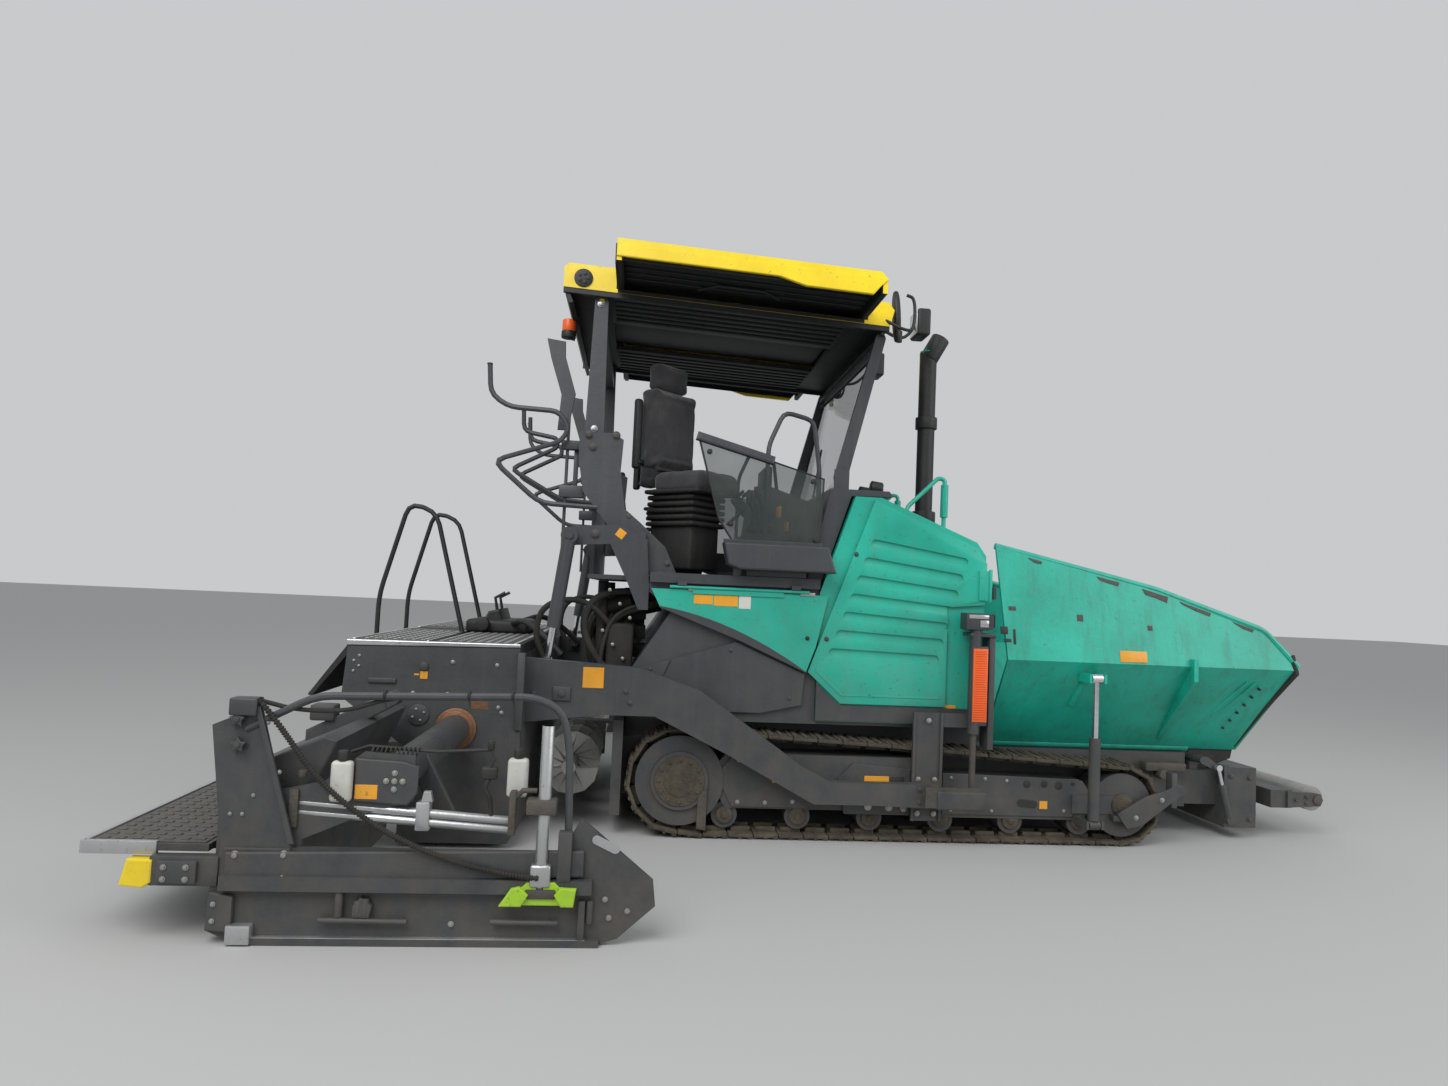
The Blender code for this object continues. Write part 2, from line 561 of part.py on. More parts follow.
# ---------------------------------------------------------------- canopy
for side, s in SIDES:
    part('rear_arm_' + side, 'slate', [
        prism([(0.02, FLOOR_TOP + 0.03 + GAP), (0.24, FLOOR_TOP + 0.03 + GAP), (0.16, 1.86),
               (-0.02, 2.02), (-0.12, 2.10), (-0.16, 2.35), (-0.15, 2.56), (-0.22, 2.60),
               (-0.44, 2.60), (-0.44, 2.42), (-0.40, 2.20), (-0.22, 1.98), (-0.05, 1.88)],
              s * 1.001, s * 1.045),
        rod((POST_FOOT_REAR[0], s * 1.01, POST_FOOT_REAR[1]),
            (POST_FOOT_REAR[0], s * 0.945, POST_FOOT_REAR[1]), 0.025, 16),
        prism([(0.065, 1.44), (0.065, 1.58), (0.04, 1.90), (-0.15, 1.99), (-0.46, 1.965),
               (-0.52, 1.90), (-0.46, 1.84), (-0.20, 1.86), (-0.08, 1.62), (0.0, 1.44)],
              s * 1.075, s * 1.105),
        box(-0.12, 0.03, s * 1.03, s * 1.09, 1.90, 1.95),
        # guard rail behind the seat
        pipe([(-0.30, s * 1.035, 2.10), (-0.68, s * 1.04, 2.11), (-0.99, s * 1.06, 2.37),
              (-0.56, s * 1.065, 2.52), (-0.51, s * 1.065, 2.61), (-0.58, s * 1.065, 2.72),
              (-0.91, s * 1.065, 2.73), (-1.03, s * 1.065, 2.81), (-1.045, s * 1.065, 3.01)],
             0.017, 8, 0.08),
        rod((LIFT_PIN[0], s * 1.09, LIFT_PIN[1]), (LIFT_PIN[0], s * 1.225, LIFT_PIN[1]), 0.025),
    ])


def slope(x, drop=0.0):
    """Height of the roof's upper face at x, less a drop."""
    t = (x - ROOF_REAR) / (ROOF_FRONT - ROOF_REAR)
    return ROOF_TOP_REAR + (ROOF_TOP_FRONT - ROOF_TOP_REAR) * t - drop


def post(foot, top, wide, thin):
    """Outline of a post from its foot pivot to its top pivot, with round ends."""
    lean = math.degrees(math.atan2(top[1] - foot[1], top[0] - foot[0]))
    return (arc(foot, wide, lean + 90, lean + 270, 8) + arc(top, thin, lean - 90, lean + 90, 8))


rear_view = post(POST_FOOT_REAR, ROOF_PIVOT, 0.065, 0.045)
part('canopy_rear_frame', 'slate', [
    prism(rear_view, POST_Y, POST_Y + POST_T),
    prism(rear_view, -POST_Y - POST_T, -POST_Y),
    box(-0.39, -0.31, -POST_Y - 0.01, POST_Y + 0.01, ROOF_PIVOT[1] - 0.16, ROOF_PIVOT[1] - 0.08),
], [
    rod((POST_FOOT_REAR[0], -1.2, POST_FOOT_REAR[1]), (POST_FOOT_REAR[0], 1.2, POST_FOOT_REAR[1]),
        0.025 + 0.0005, 16),
    rod((ROOF_PIVOT[0], -1.2, ROOF_PIVOT[1]), (ROOF_PIVOT[0], 1.2, ROOF_PIVOT[1]), 0.0205, 16),
], origin=(POST_FOOT_REAR[0], 0, POST_FOOT_REAR[1]))

front_view = post(POST_FOOT_FRONT, FRONT_TOP, 0.045, 0.035)
part('canopy_front_frame', 'slate', [
    prism(front_view, POST_Y, POST_Y + POST_T),
    prism(front_view, -POST_Y - POST_T, -POST_Y),
    prism([(1.545, 3.325), (1.60, 3.325), (1.61, 3.365), (1.555, 3.365)], -POST_Y - 0.01,
          POST_Y + 0.01),
], [
    rod((POST_FOOT_FRONT[0], -1.2, POST_FOOT_FRONT[1]), (POST_FOOT_FRONT[0], 1.2, POST_FOOT_FRONT[1]),
        0.02 + 0.0005, 16),
], origin=(POST_FOOT_FRONT[0], 0, POST_FOOT_FRONT[1]))

slot_rear, slot_front = AWNING_REAR - 0.015, AWNING_FRONT + 0.015
part('canopy_roof', 'yellow', [
    prism([(ROOF_REAR + 0.03, slope(ROOF_REAR + 0.03)), (ROOF_FRONT - 0.04, slope(ROOF_FRONT - 0.04)),
           (ROOF_FRONT, slope(ROOF_FRONT, 0.05)), (ROOF_FRONT - 0.03, slope(ROOF_FRONT, ROOF_DEPTH)),
           (ROOF_REAR, slope(ROOF_REAR, ROOF_DEPTH)), (ROOF_REAR, slope(ROOF_REAR, 0.03))],
          -ROOF_Y, ROOF_Y),
] + [
    piece
    for s in (-1, 1)
    for piece in (
        # lug and pin of the rear pivot, inside each post
        prism([(-0.40, 3.58), (-0.385, 3.48), (-0.36, 3.465), (-0.33, 3.465), (-0.305, 3.48),
               (-0.29, 3.58)], s * (POST_Y - 0.02), s * (POST_Y - 0.0005)),
        rod((ROOF_PIVOT[0], s * (POST_Y - 0.01), ROOF_PIVOT[1]),
            (ROOF_PIVOT[0], s * (POST_Y + 0.035), ROOF_PIVOT[1]), 0.020, 16),
    )
], [
    prism([(slot_rear, slope(slot_rear, 0.03)), (slot_front, slope(slot_front, 0.03)),
           (slot_front, slope(slot_front, 0.14)), (slot_rear, slope(slot_rear, 0.14))],
          -ROOF_Y - 0.1, ROOF_Y + 0.1),
    prism([(-0.28, slope(-0.28, 0.12)), (1.35, slope(1.35, 0.12)), (1.35, slope(1.35, 0.25)),
           (-0.28, slope(-0.28, 0.25))], -0.35, 0.35),
], origin=(ROOF_PIVOT[0], 0, ROOF_PIVOT[1]))

for side, s in SIDES:
    a, b = AWNING_REAR, AWNING_FRONT
    part('awning_' + side, 'yellow', [
        prism([(a, slope(a, 0.055)), (b, slope(b, 0.055)), (b, slope(b, 0.075)),
               (a, slope(a, 0.075))], s * 0.60, s * (AWNING_Y - 0.01)),
        prism([(a, slope(a, 0.005)), (b - 0.04, slope(b, 0.005)), (b, slope(b, 0.05)),
               (b - 0.06, slope(b, 0.11)), (a, slope(a, 0.115))], s * (AWNING_Y - 0.035), s * AWNING_Y),
        prism([(a, slope(a, 0.04)), (a + 0.03, slope(a + 0.03, 0.04)),
               (a + 0.03, slope(a + 0.03, 0.14 - GAP)), (a, slope(a, 0.14 - GAP))],
              s * 0.60, s * (AWNING_Y - 0.01)),
        prism([(b - 0.03, slope(b - 0.03, 0.04)), (b, slope(b, 0.04)), (b, slope(b, 0.14 - GAP)),
               (b - 0.03, slope(b - 0.03, 0.14 - GAP))], s * 0.60, s * (AWNING_Y - 0.01)),
    ])

# ---------------------------------------------------------------- levelling cylinders, tow points
for side, s in SIDES:
    y = s * LEVEL_Y
    part('levelling_cylinder_' + side, 'slate', [
        rod((LEVEL_X, y, 0.73), (LEVEL_X, y, 1.47), 0.036),
        box(LEVEL_X - 0.045, LEVEL_X + 0.11, s * 1.18, s * 1.30, 1.41, 1.50),
        box(LEVEL_X - 0.03, LEVEL_X + 0.03, s * (BODY_Y + GAP), s * 1.25, 1.42, 1.49),
        box(LEVEL_X - 0.02, LEVEL_X + 0.02, s * (RAIL_Y + GAP), s * 1.28, 0.78, 0.84),
    ], [rod((LEVEL_X, y, 0.70), (LEVEL_X, y, 1.36), 0.0215)])
    part('tow_point_' + side, 'chrome', [
        box(RAIL_X0 + 0.018 + GAP * 3, RAIL_X1 - 0.018 - GAP * 3, s * (RAIL_Y + GAP * 2),
            s * (ARM_IN - 0.002), 0.24, 0.42),
        rod((TOW_PIN[0], s * 1.235, TOW_PIN[1]), (TOW_PIN[0], s * 1.375, TOW_PIN[1]), 0.03),
        box(TOW_PIN[0] - 0.055, LEVEL_X + 0.03, s * 1.372, s * 1.388, 0.27, 0.40),
        box(LEVEL_X - 0.03, LEVEL_X + 0.03, s * 1.25, s * 1.38, 0.31, 0.37),
        rod((LEVEL_X, y, 0.34), (LEVEL_X, y, 1.09), 0.021, 16),
    ], origin=(TOW_PIN[0], s * 1.30, TOW_PIN[1]))

    # ------------------------------------------------------------ lift cylinders
    pin, eye = Vector((LIFT_PIN[0], 0, LIFT_PIN[1])), Vector((LIFT_EYE[0], 0, LIFT_EYE[1]))
    down = (eye - pin).normalized()
    centre = Vector((0, s * LIFT_Y, 0))
    part('lift_barrel_' + side, 'slate', [
        rod(pin + centre + down * 0.03, pin + centre + down * 0.60, LIFT_BORE + 0.012),
        rod(pin + Vector((0, s * 1.14, 0)), pin + Vector((0, s * 1.21, 0)), 0.055),
    ], [
        rod(pin + Vector((0, s * 1.0, 0)), pin + Vector((0, s * 1.3, 0)), 0.0255),
        rod(pin + centre + down * 0.10, pin + centre + down * 0.70, LIFT_ROD + 0.0005, 16),
    ], origin=pin + centre)
    part('lift_rod_' + side, 'chrome', [
        rod(pin + centre + down * 0.30, eye + centre, LIFT_ROD, 16),
        rod(eye + Vector((0, s * 1.15, 0)), eye + Vector((0, s * 1.20, 0)), 0.045),
    ], origin=eye + centre)

# ---------------------------------------------------------------- screed
arm_view = [(-0.72, 1.12), (0.03, 1.08), (0.42, 0.95), (1.08, 0.50), (1.28, 0.40), (1.93, 0.40),
            (1.985, 0.33), (1.93, 0.25), (1.60, 0.26), (1.17, 0.26), (0.62, 0.55), (0.14, 0.78),
            (-0.17, 0.78), (-0.69, 0.72), (-0.80, 0.60), (-1.10, 0.60), (-1.10, 0.95)]
screed = [
    # hollow box of the basic screed between its end plates
    prism([(-1.345, SOLE), (-0.71, SOLE), (-0.66, 0.10), (-0.66, 0.60), (-0.69, 1.13),
           (-1.345, 1.13)], -BASIC_Y, BASIC_Y),
    # arms to the walkway behind, between the extensions
    box(-2.28, -1.33, -0.09, 0.09, 0.28, 0.36),
    box(-2.28, -1.80, -1.46, 1.46, 0.315, 0.345),
]
for side, s in SIDES:
    screed += [
        prism(arm_view, s * ARM_IN, s * ARM_OUT),
        prism([(-1.71, 0.87), (-1.69, 1.165), (-0.69, 1.185), (-0.66, 0.60), (-1.355, 0.60),
               (-1.69, 0.85)], s * (BASIC_Y - 0.02), s * BASIC_Y),
        # rib that carries the rear cover
        prism([(-1.80, 0.90), (-1.66, 1.12), (-1.30, 1.12), (-1.30, 0.64), (-1.36, 0.64)],
              s * 0.70, s * 0.72),
        rod((TUBE_POS[0], s * (BASIC_Y - 0.01), TUBE_POS[1]),
            (TUBE_POS[0], s * (BASIC_Y + 0.008), TUBE_POS[1]), 0.116),
        box(LIFT_EYE[0] - 0.05, LIFT_EYE[0] + 0.05, s * 1.226, s * 1.25, 0.99, 1.10),
    ]
part('screed_frame', 'slate', screed, [
    box(-1.32, -0.70, -BASIC_Y + 0.03, BASIC_Y - 0.03, 0.07, 1.10),
    box(-1.25, -0.80, -1.30, 1.30, 1.0, 1.2),
    rod((TUBE_POS[0], -1.6, TUBE_POS[1]), (TUBE_POS[0], 1.6, TUBE_POS[1]), TUBE_R + 0.0005, 28),
    rod((TOW_PIN[0], -1.5, TOW_PIN[1]), (TOW_PIN[0], 1.5, TOW_PIN[1]), 0.0305),
], origin=(TOW_PIN[0], 0, TOW_PIN[1]))

cover = [
    prism([(-1.345, 1.13 + GAP), (-0.70, 1.13 + GAP), (-0.70, 1.20), (-1.68, 1.20), (-1.91, 0.87),
           (-1.89, 0.86), (-1.66, 1.165), (-1.345, 1.165)], -BASIC_Y + 0.03, BASIC_Y - 0.03),
]
for s in (-1, 1):
    cover.append(pipe([(-1.84, s * ARCH_Y, 0.93), (-1.84, s * ARCH_Y, 1.45), (-1.67, s * ARCH_Y, 2.12),
                       (-1.475, s * ARCH_Y, 2.06), (-1.23, s * ARCH_Y, 1.15)], 0.017, 8, 0.10))
part('screed_cover', 'black', cover, origin=(TOW_PIN[0], 0, TOW_PIN[1]))

for side, s in SIDES:
    gate_in, gate_out = s * (GATE_Y + GAP), s * (GATE_Y + GATE_T)
    part('extension_' + side, 'slate', [
        prism([(EXT_REAR, 0.10), (EXT_REAR + 0.05, SOLE), (EXT_FRONT - 0.05, SOLE),
               (EXT_FRONT, 0.09), (EXT_FRONT, EXT_TOP - 0.05), (EXT_FRONT - 0.05, EXT_TOP),
               (EXT_REAR, EXT_TOP)], s * EXT_IN, s * GATE_Y),
        rod((TUBE_POS[0], s * 1.37, TUBE_POS[1]), (TUBE_POS[0], s * (GATE_Y - 0.005), TUBE_POS[1]),
            TUBE_R, 28),
        # yoke that joins the tube to the extension, outside the basic screed
        prism([(-1.66, 0.45), (-1.42, 0.42), (-1.12, 0.55), (-0.94, 0.60), (-0.94, 0.80),
               (-1.16, 0.81), (-1.32, 0.68), (-1.66, 0.60)], s * (GATE_Y - 0.02), s * GATE_Y),
        # folding walkway
        box(WALK_REAR, -1.78, s * EXT_IN, s * GATE_Y, 0.37, 0.40),
        box(-1.80, EXT_REAR + 0.02, s * (EXT_IN + 0.05), s * (EXT_IN + 0.09), 0.36, 0.39),
        box(-1.80, EXT_REAR + 0.02, s * (GATE_Y - 0.12), s * (GATE_Y - 0.08), 0.36, 0.39),
    ], origin=(TUBE_POS[0], s * GATE_Y, TUBE_POS[1]))
    part('end_gate_' + side, 'slate', [
        prism([(-1.638, 0.0), (-0.12, 0.0), (-0.02, 0.03), (0.142, 0.173), (0.128, 0.282),
               (-0.20, 0.548), (-0.28, 0.40), (-1.43, 0.40), (-1.60, 1.0), (-1.79, 0.914),
               (-1.72, 0.40), (-1.76, 0.19), (-1.76, 0.05)], gate_in, gate_out),
        box(-1.70, -0.14, s * (GATE_Y + 0.02), s * (GATE_Y + 0.075), 0.23, 0.29),
        box(-1.60, -0.10, s * (GATE_Y + 0.02), s * (GATE_Y + 0.06), 0.0, 0.03),
        pipe([(-1.65, s * (GATE_Y + 0.025), 0.90), (-1.37, s * (GATE_Y + 0.025), 1.05),
              (-0.43, s * (GATE_Y + 0.025), 1.075), (-0.31, s * (GATE_Y + 0.025), 1.02),
              (-0.27, s * (GATE_Y + 0.025), 0.865), (-0.255, s * (GATE_Y + 0.025), 0.47)],
             0.017, 10, 0.07),
        rod((-0.364, s * (GATE_Y + 0.06), 0.25), (-0.364, s * (GATE_Y + 0.06), 0.958), 0.026, 16),
    ], origin=(TUBE_POS[0], s * GATE_Y, 0.3))

# ---------------------------------------------------------------- hopper
rim_view = [(2.49, 0.40), (4.02, 0.40), (4.34, 0.52), (4.50, 1.245), (4.28, 1.48), (3.52, 1.73),
            (2.40, 1.975)]
rim_path = [(2.40, 1.975), (3.52, 1.73), (4.28, 1.48), (4.49, 1.245)]


def wing_y(z):
    """Distance of the upper panel from the middle at a height."""
    t = (z - WING_KNEE[1]) / (WING_RIM[1] - WING_KNEE[1])
    return WING_KNEE[0] + (WING_RIM[0] - WING_KNEE[0]) * t


for side, s in SIDES:
    hy, hz = WING_HINGE
    ky, kz = WING_KNEE
    ry, rz = WING_RIM
    section = [(s * (hy - 0.005), hz), (s * (hy + 0.025), hz - 0.010), (s * (ky + 0.004), kz),
               (s * (ry + 0.011), rz + 0.05), (s * (ry - 0.011), rz + 0.05), (s * (ky - 0.019), kz)]
    wing = part('hopper_wing_' + side, 'green', [prism(section, 2.30, 4.60, 'X')],
                keep=prism(rim_view, s * 0.5, s * 1.6), origin=(0, s * hy, hz))
    body = wing.data
    body.transform(Matrix.Translation((0, s * hy, hz)))
    bpy.data.objects.remove(wing, do_unlink=True)
    part('hopper_wing_' + side, 'green', [
        body,
        rod((2.53, s * hy, hz), (3.99, s * hy, hz), HINGE_R, 20),
        pipe([(x, s * wing_y(z), z) for x, z in rim_path], 0.022, 8, 0.05),
        # rib and cylinder lug on the outside
        prism([(s * (hy + 0.08), hz + 0.06), (s * (ky + 0.035), kz - 0.10),
               (s * (ky + 0.035), kz + 0.05), (s * (ky - 0.01), kz + 0.05),
               (s * (hy + 0.06), hz + 0.08)], 3.72, 3.75, 'X'),
        rod((WING_EYE[0] - LUG_FACE - LUG_T, s * WING_CYL_Y, WING_EYE[1]),
            (WING_EYE[0] + LUG_FACE + LUG_T, s * WING_CYL_Y, WING_EYE[1]), WING_EYE_PIN_R, 16),
        box(WING_EYE[0] - LUG_FACE - LUG_T, WING_EYE[0] - LUG_FACE,
            s * (wing_y(kz) - 0.08), s * (WING_CYL_Y + 0.03), 1.09, 1.15),
        box(WING_EYE[0] + LUG_FACE, WING_EYE[0] + LUG_FACE + LUG_T,
            s * (wing_y(kz) - 0.08), s * (WING_CYL_Y + 0.03), 1.09, 1.15),
    ], origin=(0, s * hy, hz))

    foot, eye = Vector((WING_BASE[0], 0, WING_BASE[1])), Vector((WING_EYE[0], 0, WING_EYE[1]))
    up = (eye - foot).normalized()
    centre = Vector((0, s * WING_CYL_Y, 0))
    across = Vector((EYE_HALF, 0, 0))
    part('wing_barrel_' + side, 'slate', [
        rod(foot + centre + up * 0.03, foot + centre + up * 0.56, 0.036),
        rod(foot + centre - across, foot + centre + across, 0.032),
    ], [
        rod(foot + centre - across * 2, foot + centre + across * 2, WING_PIN_R + 0.0005, 16),
        rod(foot + centre + up * 0.10, foot + centre + up * 0.70, 0.0205, 16),
    ], origin=foot + centre)
    part('wing_rod_' + side, 'chrome', [
        rod(foot + centre + up * 0.48, eye + centre, 0.020, 16),
        rod(eye + centre - across, eye + centre + across, 0.032),
    ], [
        rod(eye + centre - across * 2, eye + centre + across * 2, WING_EYE_PIN_R + EYE_SLACK, 16),
    ], origin=eye + centre)

# apron across the front of the hopper, with a lever and a cylinder at each end
part('apron', 'slate', [
    prism([(4.012, 0.53), (4.055, 0.53), (4.13, 0.93), (4.105, 0.94)], -0.73, 0.73),
    rod((APRON_HINGE[0], -0.958, APRON_HINGE[1]), (APRON_HINGE[0], 0.958, APRON_HINGE[1]), APRON_TUBE),
] + [
    piece
    for s in (-1, 1)
    for piece in (
        prism([(4.01, 0.525), (4.03, 0.57), (4.06, 0.57), (4.145, 0.51), (4.14, 0.478),
               (4.11, 0.478)], s * 0.942, s * 0.957),
        rod((APRON_EYE[0], s * 0.95, APRON_EYE[1]), (APRON_EYE[0], s * 0.962, APRON_EYE[1]), 0.02, 16),
    )
], origin=(APRON_HINGE[0], 0, APRON_HINGE[1]))
for side, s in SIDES:
    foot = Vector((APRON_BASE[0], 0, APRON_BASE[1]))
    eye = Vector((APRON_EYE[0], 0, APRON_EYE[1]))
    up = (eye - foot).normalized()
    centre = Vector((0, s * APRON_CYL_Y, 0))
    part('apron_barrel_' + side, 'slate', [
        rod(foot + centre + up * 0.02, foot + centre + up * 0.25, 0.022, 16),
        rod(foot + Vector((0, s * 0.966, 0)), foot + Vector((0, s * 1.004, 0)), 0.030, 16),
    ], [
        rod(foot + Vector((0, s * 0.9, 0)), foot + Vector((0, s * 1.1, 0)), 0.0165, 16),
        rod(foot + centre + up * 0.06, foot + centre + up * 0.40, 0.0135, 12),
    ], origin=foot + centre)
    part('apron_rod_' + side, 'chrome', [
        rod(foot + centre + up * 0.12, eye + centre, 0.013, 12),
        rod(eye + Vector((0, s * 0.968, 0)), eye + Vector((0, s * 1.002, 0)), 0.022, 16),
    ], origin=eye + centre)

# ---------------------------------------------------------------- push rollers on their crossbar
bar = [
    prism([(BAR_PIVOT_X + 0.02, 0.215), (4.74, 0.215), (4.74, 0.34), (BAR_PIVOT_X + 0.02, 0.34)],
          -0.90, 0.90),
    rod((BAR_PIVOT_X, 0, 0.215), (BAR_PIVOT_X, 0, 0.34), 0.065),
]
for s in (-1, 1):
    for y in (0.06, PUSH_OUT + 0.035):
        bar.append(prism([(4.70, 0.22), (4.95, 0.235), (4.97, 0.277), (4.95, 0.32), (4.70, 0.335)],
                         s * (y - 0.022), s * (y + 0.022)))
part('push_bar', 'slate', bar, [
    rod((BAR_PIVOT_X, 0, 0.1), (BAR_PIVOT_X, 0, 0.5), 0.0305),
    rod((PUSH_X, -1.0, PUSH_Z), (PUSH_X, 1.0, PUSH_Z), 0.0205, 16),
], origin=(BAR_PIVOT_X, 0, PUSH_Z))
for side, s in SIDES:
    part('push_roller_' + side, 'steel', [
        rod((PUSH_X, s * PUSH_IN, PUSH_Z), (PUSH_X, s * PUSH_OUT, PUSH_Z), PUSH_R, 28),
        rod((PUSH_X, s * 0.045, PUSH_Z), (PUSH_X, s * 0.91, PUSH_Z), 0.020, 16),
    ], origin=(PUSH_X, s * 0.5, PUSH_Z))


# ---------------------------------------------------------------- augers
def flight(start, length, hand, steps=44):
    """A helical blade round the auger's shaft as one closed band."""
    verts, faces = [], []
    for i in range(steps + 1):
        y = start + length * i / steps
        a = hand * 2 * math.pi * length / AUGER_PITCH * i / steps
        for r, half in ((0.03, 0.009), (AUGER_R, 0.006)):
            for push in (-half, half):
                verts.append((AUGER_POS[0] + r * math.cos(a), y + push,
                              AUGER_POS[1] + r * math.sin(a)))
    for i in range(steps):
        a, b = 4 * i, 4 * i + 4
        faces += [(a, a + 1, b + 1, b), (a + 1, a + 3, b + 3, b + 1),
                  (a + 3, a + 2, b + 2, b + 3), (a + 2, a, b, b + 2)]
    last = 4 * steps
    faces += [(0, 2, 3, 1), (last, last + 1, last + 3, last + 2)]
    return closed(verts, faces)


for side, s in SIDES:
    length = AUGER_OUT - AUGER_IN - 0.06
    start = s * (AUGER_IN + 0.03) if s > 0 else -AUGER_OUT + 0.03
    part('auger_' + side, 'iron', [
        rod((AUGER_POS[0], s * AUGER_IN, AUGER_POS[1]), (AUGER_POS[0], s * AUGER_OUT, AUGER_POS[1]),
            AUGER_SHAFT, 20),
        flight(start, length, s),
    ], [
        rod((AUGER_POS[0], s * 0.02, AUGER_POS[1]), (AUGER_POS[0], s * 0.46, AUGER_POS[1]),
            0.0205, 24),
    ], origin=(AUGER_POS[0], s * 0.6, AUGER_POS[1]))
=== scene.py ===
import json
import math

import bpy
from mathutils import Matrix, Vector

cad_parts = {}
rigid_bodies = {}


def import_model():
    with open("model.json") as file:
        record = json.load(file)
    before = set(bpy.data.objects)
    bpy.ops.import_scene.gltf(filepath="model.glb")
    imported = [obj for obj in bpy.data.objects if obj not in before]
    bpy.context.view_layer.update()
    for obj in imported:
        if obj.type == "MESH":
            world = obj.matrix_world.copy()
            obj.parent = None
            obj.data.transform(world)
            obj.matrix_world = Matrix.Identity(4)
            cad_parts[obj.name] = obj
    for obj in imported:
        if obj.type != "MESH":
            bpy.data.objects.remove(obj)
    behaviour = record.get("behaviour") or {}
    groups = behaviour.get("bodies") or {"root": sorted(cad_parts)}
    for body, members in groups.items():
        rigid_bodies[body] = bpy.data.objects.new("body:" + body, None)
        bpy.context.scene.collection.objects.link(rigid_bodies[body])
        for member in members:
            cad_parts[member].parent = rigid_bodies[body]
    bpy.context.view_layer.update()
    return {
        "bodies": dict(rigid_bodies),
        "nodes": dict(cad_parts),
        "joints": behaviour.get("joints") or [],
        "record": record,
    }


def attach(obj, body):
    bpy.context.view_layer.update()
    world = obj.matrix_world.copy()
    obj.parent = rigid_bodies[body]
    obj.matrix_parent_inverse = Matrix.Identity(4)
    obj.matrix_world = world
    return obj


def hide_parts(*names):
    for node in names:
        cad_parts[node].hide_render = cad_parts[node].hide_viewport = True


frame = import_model()
print('frame loaded')

# machine coordinates start near the rear sprocket; this moves them into the frame
shift = {'x': -1.356}
sides = (('right', -1), ('left', 1))


def at(x, y, z):
    return Vector((x + shift['x'], y, z))


def newMaterial(name):
    mat = bpy.data.materials.new(name)
    mat.use_nodes = True
    tree = mat.node_tree
    return mat, tree, tree.nodes['Principled BSDF']


def addNode(tree, kind, **values):
    node = tree.nodes.new(kind)
    for key, value in values.items():
        if key in node.inputs:
            node.inputs[key].default_value = value
        else:
            setattr(node, key, value)
    return node


def mixColor(tree, factor, first, second):
    mix = tree.nodes.new('ShaderNodeMix')
    mix.data_type = 'RGBA'
    for socket, value in ((mix.inputs[0], factor), (mix.inputs[6], first), (mix.inputs[7], second)):
        if isinstance(value, bpy.types.NodeSocket):
            tree.links.new(value, socket)
        else:
            socket.default_value = value
    return mix.outputs[2]


def noiseMask(tree, coords, scale, low, high, detail=6.0, rough=0.6):
    noise = addNode(tree, 'ShaderNodeTexNoise', Scale=scale, Detail=detail, Roughness=rough)
    tree.links.new(coords, noise.inputs['Vector'])
    ramp = tree.nodes.new('ShaderNodeMapRange')
    ramp.inputs['From Min'].default_value = low
    ramp.inputs['From Max'].default_value = high
    tree.links.new(noise.outputs['Fac'], ramp.inputs['Value'])
    return ramp.outputs['Result']


def multiply(tree, first, second):
    node = addNode(tree, 'ShaderNodeMath', operation='MULTIPLY')
    for socket, value in zip(node.inputs, (first, second)):
        if isinstance(value, bpy.types.NodeSocket):
            tree.links.new(value, socket)
        else:
            socket.default_value = value
    return node.outputs[0]


